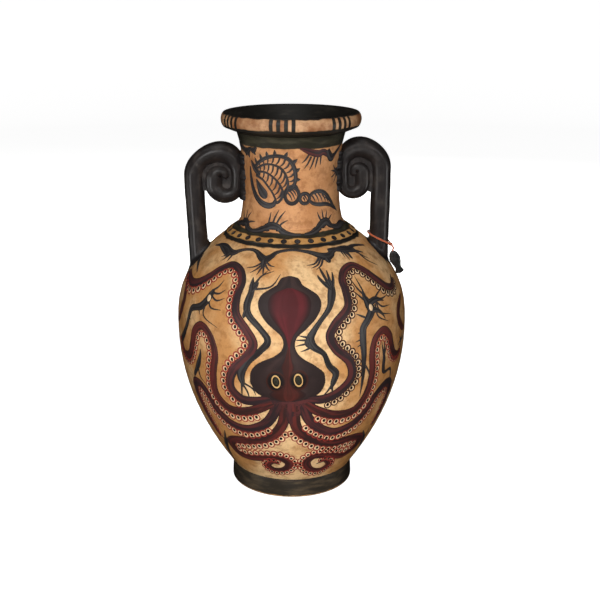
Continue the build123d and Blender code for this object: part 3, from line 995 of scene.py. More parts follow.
def twine(line, reference, closed=False, radius=cord_diameter / 2):
    """Three-strand twine: a section with three soft lobes, turning steadily as it is carried along a line."""
    way = np.gradient(line, axis=0)
    if closed:
        way = (np.roll(line, -1, 0) - np.roll(line, 1, 0)) / 2
    length = np.linalg.norm(way, axis=1)
    way = way / length[:, None]
    side = np.cross(reference, way)
    side = side / np.linalg.norm(side, axis=1, keepdims=True)
    up = np.cross(way, side)
    spin = full_turn(twine_sides)[None, :]
    twist = np.cumsum(length)[:, None] * math.tau / strand_pitch / strands
    lobes = radius * (1 - strand_hollow + strand_hollow * np.abs(np.cos(strands / 2 * (spin + twist))))
    points = (
        line[:, None, :]
        + side[:, None, :] * (lobes * np.cos(spin))[..., None]
        + up[:, None, :] * (lobes * np.sin(spin))[..., None]
    )
    return Sheet(points if closed else closed_ends(points), closed, True)


def tag_shape():
    """The pressed tag: a squarish oval carried down its spine, pinched over its tail, clear of the wall."""
    down = np.linspace(0, tag_length, tag_rows)
    half = evened(np.interp(down, *np.array(tag_halves).T), tag_even_span)
    thick = tag_thickness / 2 * np.interp(down, *np.array(tag_thick_shares).T)
    thick = thick * (1 + tag_ripple * np.sin(down * tag_ripple_turn))
    ends = np.sqrt(np.clip(np.minimum(down / tag_head_round, (tag_length - down) / tag_tail_round), 0, 1))
    across, deep = squarish(full_turn(tag_sides)[None, :], tag_squareness)
    across = across * (half * ends)[:, None]
    deep = deep * (thick * ends)[:, None]
    tail = tag_tail_dish * (across / half[:, None]) ** 2
    tail = tail * np.clip((down - tag_tail_start) / tag_tail_run, 0, 1)[:, None]
    points = (
        tag_top
        + tag_spine * (down[:, None] - tail)[..., None]
        + tag_across * across[..., None]
        + backward * deep[..., None]
    )
    clear = body_radius(points[..., Z]) + stray(0, points[..., Z]) + hang_gap
    radius = np.hypot(points[..., X], points[..., Y])
    points[..., :2] *= (np.maximum(radius, clear) / radius)[..., None]
    return Sheet(closed_ends(points), False, True)


def make_cord_and_tag():
    """The loop round the stem, its knot, the bight under it and the pressed tag."""
    twine_finish = waxed_cord("waxed orange twine")
    wax = seal_wax("pressed dark wax")
    t = full_turn(knot_steps)
    trefoil = np.stack([
        np.sin(t) + 2 * np.sin(2 * t), np.cos(t) - 2 * np.cos(2 * t), -knot_depth * np.sin(3 * t),
    ], -1)
    knot_line = knot_place + trefoil * (knot_radius - knot_strand) / 3
    bight = np.array([link_out, 0.0, -link_fall / 2])
    link_route = [
        knot_place + bight / np.linalg.norm(bight) * knot_radius / 3,
        knot_place + bight * link_bow,
        tag_top - tag_spine * link_above + tag_across * link_aside,
        tag_top + tag_spine * link_inside,
    ]
    pieces = [
        ("tie_twine", "tie_cord", twine(route_line(loop_route), loop_normal), twine_finish, "jar", "cord"),
        ("twine_knot", "cord_knot", twine(knot_line, upward, True, knot_strand), twine_finish, "jar", "cord"),
        ("tag_twine", "tag_link", twine(route_line(link_route), backward), twine_finish, "tag", "cord"),
        ("pressed_tag", "seal_tag", tag_shape(), wax, "tag", "seal"),
    ]
    for name, node, sheet, finish, body, slot in pieces:
        make_piece(name, [sheet], finish, body=body, stands_for=[node])


make_handles()
make_cord_and_tag()


# Painting: strokes, dots and rings of slip on the wall, each kind with its own lift off it
wash_lift = 0.06
slip_lift = 0.10
cream_lift = 0.14
pupil_lift = 0.18
frond_lift = 0.30
body_lift = 0.16
core_lift = 0.24
halo_lift = core_lift + 0.06
eye_lift = core_lift + 0.09
eye_line_lift = core_lift + 0.12
sunk = 0.05

# A stroke's least half width, a whisker's middle and tip, a ring's flat top and a dot's crown
least_half = 0.1
whisker_middle = 0.85
whisker_tip = 0.28
ring_flat = 0.7
dot_crown = 0.85
dot_crown_lift = 0.9


def flowing(points, steps):
    """A smooth line through points: between two a cubic leaves and arrives along the chords beside it."""
    p = np.array(points, float)
    p = np.concatenate([2 * p[:1] - p[1:2], p, 2 * p[-1:] - p[-2:-1]])
    t = np.linspace(0, 1, steps, endpoint=False)[None, :, None]
    a, b, c, d = (p[k:len(p) - 3 + k, None] for k in range(4))
    line = b + 0.5 * t * (c - a + t * (2 * a - 5 * b + 4 * c - d + t * (3 * (b - c) + d - a)))
    return np.concatenate([line.reshape(-1, p.shape[1]), p[-2:-1]])


def stroke(points, wall=body_radius, turn=0.0, lift=slip_lift, number=0.0, lanes=5, steps=8, load=1.0):
    """A brush stroke through points of the wall, each an angle, a height and the half width there."""
    line = flowing(points, steps)
    half = np.maximum(line[:, 2], least_half) * load
    return ribbon(wall, line[:, 0] + turn, line[:, 1], half, lift, lanes, number)


def whisker(start, end, half, wall=body_radius, turn=0.0, bow=0.0):
    """A thin stroke that springs from one point of the wall to another and runs out to nothing."""
    (a, b), (c, d) = start, end
    middle = ((a + c) / 2 - bow * (d - b) / 2, (b + d) / 2 + bow * (c - a) / 2, half * whisker_middle)
    return stroke([(a, b, half), middle, (c, d, whisker_tip)], wall, turn, lanes=3, steps=6)


def each(values):
    """One value for each place, ready to spread over its oval's points."""
    return np.reshape(values, (-1, 1, 1))


def ovals(wall, degrees, z, across, spin, tall, tilt, lifts):
    """Points of the wall round ovals, one for each place, from their reach, spin, height and tilt."""
    lean = each(np.radians(tilt))
    u = across * np.cos(spin)
    v = across * np.sin(spin) * each(tall)
    aside = u * np.cos(lean) - v * np.sin(lean)
    up = u * np.sin(lean) + v * np.cos(lean)
    z = each(z)
    return on_wall(wall, each(degrees) + np.degrees(aside / wall(z)), z + up / slant_of(wall, z), lifts)


def rings(degrees, z, radius, half, wall=body_radius, lift=slip_lift, tall=1.0, tilt=0.0, sides=14):
    """Painted rings: a flat-topped line carried round an oval, one for each place."""
    spin = full_turn(sides)[None, :, None]
    section = np.array([-1.0, -ring_flat, ring_flat, 1.0])[None, None, :]
    across = each(radius) + half * section
    lifts = np.where(np.abs(section) < 1, lift, -sunk)
    brush = np.stack(np.broadcast_arrays(across * spin, section, each(degrees)), -1)
    return Sheet(ovals(wall, degrees, z, across, spin, tall, tilt, lifts), True, True, brush)


def dots(degrees, z, radius, wall=body_radius, lift=slip_lift, tall=1.0, tilt=0.0, sides=12):
    """Painted dots: a low dome over an oval, closed by a fan below the wall's surface, one for each place."""
    spin = full_turn(sides)[None, None, :]
    share = np.array([0.0, dot_crown, 1.0, 0.0])[None, :, None]
    lifts = np.array([lift, lift * dot_crown_lift, -sunk, -sunk])[None, :, None] + 0 * spin
    across = each(radius) * share
    brush = np.stack(np.broadcast_arrays(across * np.cos(spin), share, each(degrees)), -1)
    return Sheet(ovals(wall, degrees, z, across, spin, tall, tilt, lifts), False, True, brush)


# The sea creature: mantle, head and eight arms, each arm a line of angles and heights
eye_turns = (-6.9, 3.6)
eye_heights = (121.8, 123.2)
eye_radius = 3.15
eye_oval = dict(tall=1.62, tilt=8.0, sides=24)
eye_line = 0.52
halo_radius = 8.6
halo_oval = dict(tall=1.15, sides=28)
body_lanes = 25
mantle = [
    (-1.5, 104.0, 6), (-1.5, 106.5, 18), (-1.5, 111, 26), (-1.5, 117, 30), (-1.5, 124, 31),
    (-1.4, 131, 28.5), (-1.2, 137, 21), (-1.0, 142, 12), (-0.8, 147, 6.5), (-0.7, 153, 4.6),
    (-0.6, 159, 6.5), (-0.5, 165, 13.5), (-0.5, 171, 20), (-0.5, 178, 24.6), (-0.5, 184, 25.4),
    (-0.5, 189, 22.5), (-0.5, 193, 16), (-0.5, 196, 10.5), (-0.5, 198.5, 8.6), (-0.5, 200.7, 6.5),
    (-0.5, 202, 1.5),
]
mantle_core = [
    (-0.7, 148, 0.8), (-0.7, 154, 1.8), (-0.6, 160, 4.5), (-0.5, 165, 9), (-0.5, 171, 14.5),
    (-0.5, 177, 18.5), (-0.5, 183, 19.5), (-0.5, 188, 17.5), (-0.5, 191.5, 12), (-0.5, 194, 3),
]
head_core = [
    (-1.5, 104.5, 6), (-1.5, 107, 14), (-1.5, 111, 17), (-1.5, 116, 11), (-1.5, 121, 5.5), (-1.4, 128, 4.5),
    (-1.3, 134, 6.5), (-1.1, 140, 4), (-0.9, 147, 2), (-0.8, 151, 0.8),
]
arm_skirt = [
    (-0.5, 111, 20), (-0.5, 106, 27), (-0.5, 102.5, 27), (-0.3, 99, 19), (0.0, 94, 11), (0.0, 88, 6),
    (0.0, 82, 0.8),
]
left_arms = [
    [(-10, 106), (-17, 103), (-25, 103), (-30.5, 113), (-28, 128), (-20.5, 141), (-17.5, 152), (-21, 162),
     (-27, 173), (-28.5, 186), (-28, 196), (-32, 203), (-40, 205.8), (-47, 201.5), (-53, 194.5), (-60, 188),
     (-67, 185.5), (-74, 187.5), (-80, 189.5), (-86, 185)],
    [(-9, 102), (-22, 92), (-34, 91), (-41, 103), (-40.5, 121), (-38.5, 138), (-41.5, 152), (-47.5, 158),
     (-53, 152), (-56, 139), (-58.5, 130), (-62, 126), (-66.5, 126.5), (-69.5, 133), (-71, 140)],
    [(-6, 102), (-12, 84), (-23, 74), (-34, 75), (-43, 85), (-48, 98), (-53, 105), (-58.5, 103.5), (-60, 94),
     (-58, 80), (-55.5, 66), (-53, 53)],
    [(-3, 102), (-4.5, 82), (-12, 68), (-25, 61), (-37, 57.5), (-43, 51.5), (-40.5, 42), (-30, 40),
     (-18, 43), (-7.5, 44), (-1.5, 38), (-5, 31), (-13, 29.5), (-17, 34), (-13, 38.5), (-8, 36)],
]
right_arms = [
    [(8, 106), (16, 105), (24, 110), (30, 121), (28.5, 135), (21.5, 147), (18.5, 158), (22, 168), (29, 178),
     (30, 190), (30, 197), (34, 203), (42, 205.2), (49, 200), (54.5, 192.5), (60.5, 185), (67, 183),
     (72.5, 190)],
    [(7, 102), (14, 94), (24, 88), (35, 89), (41, 101), (43, 119), (42, 137), (44, 149), (50, 153.5),
     (55.5, 146), (58.5, 134), (62, 127.5), (66.5, 126), (70, 131)],
    [(5, 102), (11, 83), (23, 71), (36, 74), (44, 84), (49, 96), (55.5, 103), (61, 102), (64.5, 94),
     (64.5, 83), (62.5, 71), (60, 60)],
    [(2, 102), (3, 79), (12, 66), (26, 58), (40, 58), (50.5, 53.5), (50.5, 44), (40, 39), (27, 43.5),
     (16, 45.5), (11, 39), (14.5, 30), (23, 27), (29, 32), (24.5, 38), (18.5, 35.5)],
]
arm_halves = [(0.0, 4.0), (0.08, 4.5), (0.35, 4.2), (0.65, 3.6), (0.88, 2.8), (0.97, 1.6), (1.0, 0.3)]
arm_lanes = 9
arm_steps = 10
skirt_lanes = 11
darker_arms = (0, 2)

# Suckers: their sizes along an arm, how far off it they sit, where a row starts and how near its end it stops
sucker_pitch = 6.0
sucker_radius = 2.75
sucker_line = 0.66
least_line = 0.6
sucker_sizes = [(0, 0.75), (0.08, 1.0), (0.5, 0.95), (0.85, 0.82), (1, 0.62)]
sucker_seat = 0.85
row_end = 0.4
left_sucker_starts = (5.6, 3.6, 5.4, 5.8)
right_sucker_starts = (3.4, 3.4, 4.4, 5.6)
pupil_radius = 1.42
least_pupil = 0.85
pupil_off = 0.45
pupil_oval = dict(tall=1.3, sides=8)

# Low on the belly the wall faces the ground, and strokes there are drawn fuller
fuller_below = 110.0
fuller_run = 60.0
fuller_arms = 0.22
fuller_suckers = 0.35

# Round the sides, where the wall turns away from the eye, the arms are drawn fuller too
fuller_beyond = 46.0
fuller_turn = 16.0
fuller_sides = 0.42


def lowness(z):
    """How low on the belly a place lies: 0 where the wall stands, 1 where it faces the ground."""
    return np.clip((fuller_below - z) / fuller_run, 0, 1)


def asideness(degrees):
    """How far round the side a place lies: 0 on the front, 1 where the wall turns away."""
    return np.clip((np.abs(degrees) - fuller_beyond) / fuller_turn, 0, 1)


def arm_line(points):
    """An arm's dense line: angles, heights, shares of the way along and tapering half widths."""
    degrees, z = flowing(points, arm_steps).T
    go_round = np.diff(np.radians(degrees)) * body_radius(z[1:])
    go_up = np.diff(z) * slant_of(body_radius, z[1:])
    along = np.concatenate([[0], np.cumsum(np.hypot(go_round, go_up))])
    along = along / along[-1]
    half = np.interp(along, *np.array(arm_halves).T)
    return degrees, z, along, half * (1 + fuller_arms * lowness(z) + fuller_sides * asideness(degrees))


def sucker_places(points, hand, first, spread):
    """A row of places beside an arm: a line set off by its half width, walked at a pitch that closes up.

    Where that line doubles back, inside a tight bend, the walk stands still. Gives angles, heights, sizes and
    the way back to the arm.
    """
    degrees, z, along, half = arm_line(points)
    size = np.interp(along, *np.array(sucker_sizes).T) * (1 + spread * asideness(degrees))
    radius = body_radius(z)
    slant = slant_of(body_radius, z)
    way = np.stack([np.gradient(np.radians(degrees)) * radius, np.gradient(z) * slant])
    way = way / np.hypot(*way)
    out = hand * (half + sucker_radius * size * sucker_seat)
    aside = np.stack([-way[1], way[0]]) * out
    row_degrees = degrees + np.degrees(aside[0] / radius)
    row_z = z + aside[1] / slant
    go_round = np.diff(np.radians(row_degrees)) * radius[1:]
    go_up = np.diff(row_z) * slant[1:]
    step = go_round * way[0][1:] + go_up * way[1][1:]
    walked = np.concatenate([[0], np.cumsum(np.clip(step, 0, None) / (sucker_pitch * size[1:]))])
    at = np.arange(first, walked[-1] - row_end)
    d, h, s = (np.interp(at, walked, v) for v in (row_degrees, row_z, size))
    back = -np.sign(hand) * np.stack([np.interp(at, walked, v) for v in (-way[1], way[0])])
    return d, h, s, back


def paint_creature(turn):
    """One side's creature: sheets of its arms, suckers, body and eyes, by slip."""
    made = {slip: [] for slip in ("maroon", "wine", "red", "umber", "cream", "pupil")}
    halves = ((1, left_arms, left_sucker_starts, "red"), (-1, right_arms, right_sucker_starts, "umber"))
    for hand, arms, starts, outline in halves:
        for k, points in enumerate(arms):
            degrees, z, _, half = arm_line(points)
            number = turn + hand * (k + 1)
            arm = ribbon(body_radius, degrees + turn, z, half, slip_lift, arm_lanes, number)
            made["maroon" if k in darker_arms else "wine"].append(arm)
            d, h, s, toward = sucker_places(points, hand, starts[k], fuller_sides if k == 0 else 0.0)
            d = d + turn
            tall = 1 + fuller_suckers * lowness(h)
            line = sucker_line * np.clip(s, least_line, 1).mean()
            made["cream"].append(dots(d, h, sucker_radius * s, lift=wash_lift, tall=tall))
            edge = outline if k == 0 else "red"
            made[edge].append(rings(d, h, sucker_radius * s, line, lift=cream_lift, tall=tall))
            near = pupil_off * s
            made["pupil"].append(dots(
                d + np.degrees(toward[0] * near / body_radius(h)), h + toward[1] * near,
                pupil_radius * np.maximum(s, least_pupil), lift=pupil_lift, **pupil_oval,
            ))
    made["maroon"].append(stroke(arm_skirt, turn=turn, lanes=skirt_lanes, number=5.0))
    made["body"] = [stroke(mantle, turn=turn, lift=body_lift, lanes=body_lanes)]
    made["core"] = [stroke(mantle_core, turn=turn, lift=core_lift, lanes=body_lanes, number=3.0)]
    made["head"] = [stroke(head_core, turn=turn, lift=core_lift, lanes=body_lanes, number=4.0)]
    eyes = np.array(eye_turns) + turn
    level = np.array(eye_heights)
    made["halo"] = [dots(eyes, level, halo_radius, lift=halo_lift, **halo_oval)]
    made["cream_eye"] = [rings(eyes, level, eye_radius, eye_line, lift=eye_line_lift, **eye_oval)]
    made["eye"] = [dots(eyes, level, eye_radius - eye_line / 2, lift=eye_lift, **eye_oval)]
    return made


# Weeds between the arms: strokes of angle, height and half width, and whiskers from point to point
weeds = [
    [(-22, 200, 0.3), (-21.5, 195, 1.7), (-21, 190, 2.2), (-22, 181, 2.6), (-20.5, 174, 2.3),
     (-14, 164, 2.0), (-10.5, 155, 2.3), (-14.5, 146, 2.1), (-20.5, 136, 2.2), (-24, 126, 3.0),
     (-23.5, 118, 1.8), (-23, 114, 0.3)],
    [(-21.5, 189, 1.0), (-19, 194, 1.1), (-18, 197, 0.3)],
    [(-22, 178, 1.5), (-22.8, 173, 1.2), (-23, 171, 0.3)],
    [(22.5, 194, 2.2), (21.5, 188, 2.9), (19, 179, 1.9), (14, 170, 1.6), (10, 161, 2.3), (9, 155, 3.0),
     (11, 150, 2.4), (15.5, 144, 1.7), (18, 134, 2.0), (21.5, 127, 2.4), (20.5, 119, 2.0), (19.5, 113, 0.4)],
    [(22, 192, 1.4), (19, 196, 1.3), (16.5, 200, 0.9), (16, 202, 0.3)],
    [(22, 193, 1.4), (20.5, 198, 1.1), (19, 203.5, 0.9), (18.3, 206.5, 0.4)],
    [(22.5, 194, 1.2), (22.3, 199, 1.0), (22.2, 204.5, 0.4)],
    [(23, 193, 1.2), (24.5, 198, 1.0), (25.4, 203, 0.4)],
    [(8.2, 158, 1.2), (8.6, 155.5, 3.4), (9.4, 152.5, 3.2), (10.5, 149.5, 1.2)],
    [(-92, 209, 2.0), (-86, 205, 3.0), (-80, 201, 2.8), (-74, 197.5, 1.6), (-69.5, 194.5, 0.7),
     (-67.5, 193, 0.3)],
    [(-88, 203, 2.6), (-83, 197.5, 1.6), (-81, 192.5, 0.4)],
    [(92, 209, 2.0), (87, 204, 3.0), (83, 199, 2.2), (80.5, 194.5, 0.5)],
    [(90, 202, 2.6), (89, 196, 1.6), (88, 191, 0.4)],
    [(40.3, 188, 0.4), (40.3, 183, 1.7), (41.8, 177, 3.4), (42.6, 172, 3.6), (39.5, 165.5, 2.8),
     (36.4, 160, 2.9), (36, 150, 2.8), (36.6, 140, 2.4), (36.9, 128, 1.9), (37, 115, 1.2), (36.8, 101, 0.2)],
    [(42, 177, 2.8), (46, 179, 2.2), (49.5, 178.5, 1.4), (53.5, 176, 0.3)],
    [(42, 172, 2.4), (46.5, 171, 1.7), (50, 167, 1.0), (52, 162, 0.3)],
    [(-44, 188, 0.5), (-45, 184, 2.3), (-47, 178, 2.9), (-50, 173, 2.8), (-54, 170.5, 2.3),
     (-57.8, 168, 2.3), (-59.5, 161, 2.0), (-61, 154, 1.9), (-64.5, 145, 2.2), (-68.5, 138, 2.4),
     (-71.5, 132, 0.8)],
    [(-48.5, 138, 0.3), (-49.5, 131, 1.5), (-51.5, 124, 2.2), (-54, 118, 1.7), (-56.5, 113, 1.5),
     (-58, 109, 0.4)],
    [(51, 134, 1.0), (51.3, 128, 1.7), (51.8, 119, 1.8), (53.5, 115.5, 1.3), (58.5, 116, 1.2),
     (60.5, 110, 0.9), (61.5, 100, 0.8), (64, 90, 0.2)],
    [(-44, 64, 0.4), (-46.5, 56, 1.2), (-49, 50, 1.9), (-53.5, 40, 2.0), (-57, 29, 1.6), (-58, 21, 0.5)],
    [(50, 61, 0.4), (54, 54, 1.4), (58.5, 46, 2.0), (62, 36, 2.0), (63.5, 26, 1.4), (63, 20, 0.4)],
]
whiskers = [
    ((-20, 193), (-10, 205), 0.4), ((-20, 192), (-6, 203), -0.4), ((-21, 194), (-14, 205), 0.1),
    ((-23.5, 117), (-20.5, 104), 0.1), ((-24, 117), (-24.5, 105), 0.0), ((-23, 118), (-17, 108), 0.3),
    ((20, 118), (14.5, 106), 0.1), ((20, 117), (20.5, 107), 0.0), ((10, 158), (3.5, 160), 0.1),
    ((9, 156), (1.8, 156.5), 0.0), ((9, 154), (2.2, 151.5), 0.0), ((10, 151), (4.5, 147), 0.1),
    ((40.5, 184), (35.5, 197), 0.1), ((41, 184), (39, 198), 0.0), ((40, 180), (35, 188), 0.0),
    ((38, 168), (33, 172), 0.0), ((47, 178), (57.5, 171), -0.4), ((47, 177), (57, 164), -0.45),
    ((46, 176), (54.5, 159), -0.4), ((48, 179), (58, 179), -0.2), ((47, 180), (55, 185), 0.1),
    ((37, 153), (31.5, 150), 0.1), ((37, 150), (32.5, 145.5), 0.1), ((37, 156), (33, 157), 0.0),
    ((38, 128), (41.5, 116), 0.1), ((-45, 185), (-36.5, 189), -0.4), ((-45, 183), (-35.5, 183), -0.6),
    ((-46, 180), (-36, 174), -0.6), ((-46, 179), (-37, 160), -0.6), ((-45.5, 186), (-40, 195), -0.2),
    ((-52, 172), (-50, 166), 0.0), ((-61, 161), (-57.5, 159), 0.0), ((-52, 122), (-47, 106), -0.3),
    ((50.5, 132), (48.5, 145), 0.0), ((51, 133), (50.8, 147), 0.0), ((51.5, 132), (53, 143), 0.0),
    ((-48.5, 51), (-52.5, 60), 0.2), ((-50, 48), (-45, 52), 0.0), ((57.5, 48), (57, 60), -0.2),
    ((57, 49), (61.5, 57), 0.0), ((69.8, 135.2), (72, 142), 0.0), ((69.8, 135.2), (76, 136), 0.0),
    ((69.8, 135.2), (67, 140), 0.0), ((69.8, 135.2), (71, 128.5), 0.0), ((69.8, 135.2), (65.5, 133), 0.0),
]
side_loops = [
    [(75, 172.5, 1.0), (70.5, 168.5, 2.2), (66.3, 163, 2.8), (66.3, 155, 2.8), (71, 146.5, 2.4),
     (76, 143, 1.0)],
    [(-78, 186, 1.0), (-72, 179, 2.4), (-69.5, 172, 2.8), (-70.3, 164, 2.8), (-73.5, 155, 2.2),
     (-77, 149, 1.0)],
]
garland = [
    [(-74, 212.5, 0.6), (-67, 214.5, 1.6), (-60, 215.2, 1.9), (-54, 214.6, 1.6), (-50, 213.2, 2.3),
     (-45.5, 212.8, 2.5), (-41, 215, 1.6), (-36, 216.4, 1.2), (-30, 216.8, 1.3), (-25.5, 215.6, 1.7),
     (-21.5, 213.2, 2.5), (-18, 211.8, 3.0), (-14.5, 213.6, 2.2), (-11, 216.3, 1.5), (-5, 217.8, 1.2),
     (3, 218.2, 1.1), (11, 217.2, 1.4), (16, 216, 1.8), (20.5, 214.4, 2.4), (25.5, 213, 3.2),
     (29.5, 213.8, 2.6), (33, 215.8, 1.8), (39, 216.8, 1.5), (45, 216.4, 2.0), (50, 215.6, 2.0),
     (55, 216.2, 1.4), (62, 215.4, 1.1), (70, 213.5, 0.5)],
    [(-18.5, 212.5, 2.6), (-18, 209.5, 2.0), (-18, 207, 0.8)],
    [(25.5, 213.5, 2.6), (26, 210.8, 2.2), (26.5, 209, 0.8)],
    [(-47, 213, 2.0), (-48.5, 210.8, 1.2), (-50, 209, 0.5)],
    [(-67, 214.5, 1.4), (-59, 213.4, 2.0), (-53, 211.6, 1.6), (-49, 209.8, 0.4)],
    [(29, 216.8, 1.2), (37, 216.4, 2.0), (45, 214.8, 2.1), (53, 213, 1.4), (60, 210.5, 0.4)],
    [(43, 215.5, 1.7), (44.5, 212, 1.3), (45.5, 209, 0.4)],
]
garland_whiskers = [
    ((-48, 212.5), (-54, 208.5), 0.1), ((-47, 212), (-51, 206.5), 0.1), ((-45, 211.5), (-46, 206.5), 0.0),
    ((-19, 210), (-28.5, 205.5), 0.2), ((-18.5, 209), (-25, 202.5), 0.1), ((-18, 208), (-20.5, 201.5), 0.0),
    ((-17.5, 208), (-16.5, 201.5), 0.0), ((-17, 209), (-12.5, 204.5), -0.1),
    ((-16.5, 210.5), (-10, 207.5), -0.2), ((20, 213), (10.5, 208.5), 0.3), ((21, 212.5), (13, 206.5), 0.25),
    ((22.5, 212), (16, 205.5), 0.2), ((41, 216), (42.5, 208.5), 0.0), ((42.5, 216), (45, 208.5), 0.0),
    ((50, 215), (56.5, 209.5), -0.1), ((52, 215), (61, 205.5), -0.15), ((53, 216), (64.5, 199.5), -0.25),
    ((39.5, 216.5), (40, 211), 0.0),
]

# The neck: fronds on its lower band, drips on its upper band, a crested shell and a string of beads
neck_fronds = [
    [(-84, 229, 1.2), (-74, 230, 1.8), (-65, 232, 2.6), (-59, 232.5, 2.8), (-54, 229.5, 1.8),
     (-46, 228, 1.4)],
    [(-46, 228, 1.2), (-38, 228.8, 1.8), (-30, 231, 2.3), (-22, 233.2, 2.8), (-15, 232.6, 2.4),
     (-8, 229.6, 1.7), (2, 227.8, 1.2), (10, 227.6, 1.0)],
    [(14, 227.6, 1.0), (22, 228.4, 1.6), (30, 231, 2.2), (37, 234.4, 2.8), (43, 235.2, 2.6),
     (49, 231.5, 1.9), (58, 229.5, 1.8), (68, 230.5, 2.3), (76, 230, 1.6), (84, 229, 0.8)],
    [(-82, 294.5, 2.2), (-70, 293.2, 2.4), (-63, 291.4, 2.0), (-57, 290.8, 2.6), (-51, 293.4, 1.2),
     (-46, 292.4, 2.0), (-40, 295.6, 0.7)],
    [(-61, 292, 1.6), (-61.5, 289, 1.1), (-61, 286.8, 0.4)],
    [(-56, 291, 1.8), (-55.2, 288, 1.3), (-54, 286, 0.4)],
    [(-46, 293, 1.6), (-44.5, 290.4, 1.1), (-42.5, 289.2, 0.4)],
    [(44, 293, 1.8), (48, 288.5, 2.4), (52, 286.2, 2.6), (57, 288, 1.7), (63, 291, 1.3), (72, 294.5, 1.0)],
    [(62, 275.5, 0.6), (66, 274.2, 2.4), (70, 273.2, 3.2), (76, 273, 2.6)],
]
neck_stain = [
    [(10, 295.8, 1.0), (16, 294.2, 2.2), (24, 292, 3.2), (32, 290.8, 3.4), (38, 291.8, 3.0),
     (44, 289.8, 2.8), (48, 287.5, 2.0)],
]
neck_whiskers = [
    ((-66, 233), (-70, 241), 0.0), ((-63, 233), (-60, 243.5), 0.0), ((-60, 234), (-52, 242), 0.1),
    ((-57, 232.5), (-44, 235), 0.1), ((-26, 233), (-23, 244.5), 0.0), ((-21, 234), (-13.5, 246.5), 0.1),
    ((-17, 234), (-6, 246), 0.1), ((-14, 233), (-3.5, 238.5), 0.1), ((36, 236), (31, 244), 0.1),
    ((39, 236.5), (37.5, 245.5), 0.0), ((42, 236.5), (45, 244), 0.0), ((45, 235), (53, 240), 0.1),
    ((20, 290.5), (12.5, 284), 0.1), ((23, 289), (15, 279.5), 0.1), ((27, 288.5), (21, 278), 0.1),
    ((31, 288), (28, 279), 0.0), ((35, 289), (35, 281.5), 0.0), ((64, 274.5), (57, 280), 0.1),
    ((64, 274), (53, 275.5), 0.0), ((64, 273.5), (53, 270), 0.1), ((66, 272.5), (59, 265), 0.1),
]
shell_arcs = [
    [(-47, 280, 0.9), (-38, 285, 1.0), (-27, 288.6, 1.0), (-14, 289.6, 1.0), (-4, 286.6, 1.1),
     (1.5, 280, 1.1), (3, 272, 1.0), (0.5, 265.4, 0.8), (-3, 262.2, 0.4)],
    [(-46, 277.8, 0.8), (-34, 282, 0.7), (-23, 282.4, 0.7), (-13, 279.4, 0.8), (-7, 272.6, 0.8),
     (-5.5, 265.2, 0.7), (-7, 260.6, 0.4)],
    [(-45, 275.5, 0.8), (-34, 276, 0.7), (-24, 273, 0.7), (-15.5, 267, 0.7), (-11.5, 260.4, 0.7),
     (-13, 254.4, 0.4)],
    [(-47, 272.7, 0.9), (-37, 269.8, 0.8), (-29, 264.2, 0.7), (-23, 258.6, 0.7), (-20, 253, 0.7),
     (-24, 250.6, 0.5)],
]
shell_spikes = [
    ((-44, 281.8), (-47.5, 287)), ((-37, 285.8), (-39, 290.5)), ((-29, 288.4), (-30, 293)),
    ((-20, 289.8), (-20, 294.6)), ((-9, 288.4), (-6, 293.2)), ((-1, 284), (5, 287.5)),
    ((2.5, 277.5), (8, 280)), ((3, 271), (8.5, 271)), ((1.5, 266), (6, 264)),
]
shell_mouth = [
    [(-57, 279, 0.5), (-56, 270.6, 1.2), (-53, 262.8, 1.4), (-47, 255.4, 1.6), (-38, 250.6, 1.7),
     (-29, 249.2, 1.6), (-23, 250.6, 1.3), (-20, 254, 0.9)],
    [(-46.5, 269.5, 0.4), (-42.5, 264.6, 1.7), (-38, 260, 2.7), (-34, 257, 2.3), (-31.5, 255.2, 0.6)],
    [(-54, 284, 0.5), (-50, 279.4, 1.6), (-45.5, 276.2, 1.7), (-41, 273.4, 0.5)],
]
shell_turn = 2.5
bead_places = [(1.2, 258.4, 5.6, 1.2), (15.9, 255.6, 3.9, 1.05)]
bead_tail = [
    [(20, 255.5, 0.5), (25, 259.4, 1.3), (34, 260.6, 1.5), (43, 258, 1.6), (52, 251.6, 1.4),
     (59, 245.6, 1.1), (66, 241.4, 0.3)],
    [(20, 255.5, 0.5), (25, 251.6, 1.3), (34, 249.8, 1.5), (43, 249.4, 1.5), (52, 247.4, 1.2),
     (60, 244, 0.8), (66, 241.4, 0.3)],
]
bead_strokes = [
    ((-3.5, 260.5), (1.5, 254)), ((-2, 262.6), (5, 254.6)), ((1, 263.2), (6.5, 257.6)),
    ((13.8, 256.6), (16.4, 253)), ((14.8, 258.2), (18.8, 254)), ((24, 257.8), (29, 252)),
    ((28, 259.2), (34, 251.4)), ((32.5, 259.2), (39, 251)), ((38, 257.8), (44, 251)),
    ((43, 255.4), (49, 249.4)),
]

# How full the brush is for each kind of stroke, and half the width of each kind of whisker
arc_load = 1.5
rim_load = 1.8
frond_load = 1.35
tail_load = 1.3
weed_load = 1.4
loop_load = 1.6
rib_half = 1.15
spike_half = 2.2
neck_whisker_half = 1.15
bead_stroke_half = 0.95
weed_whisker_half = 1.2

# Ribs, beads, buds and the collar's dots
rib_arc_steps = 12
rib_counts = (13, 11, 9)
rib_shares = (0.08, 0.96)
rib_bow = 0.25
bead_bow = 0.15
bead_line = 1.6
bead_sides = 28
bud_turns = (42.7, -45.7)
bud_heights = (174.2, 180.4)
bud_radius = 2.2
bud_tall = 1.4
collar_dots = 30
collar_dot_first = -6.2
collar_dot_radius = 2.7
collar_dot_rise = 0.2
collar_dot_oval = dict(tall=0.95, sides=16)


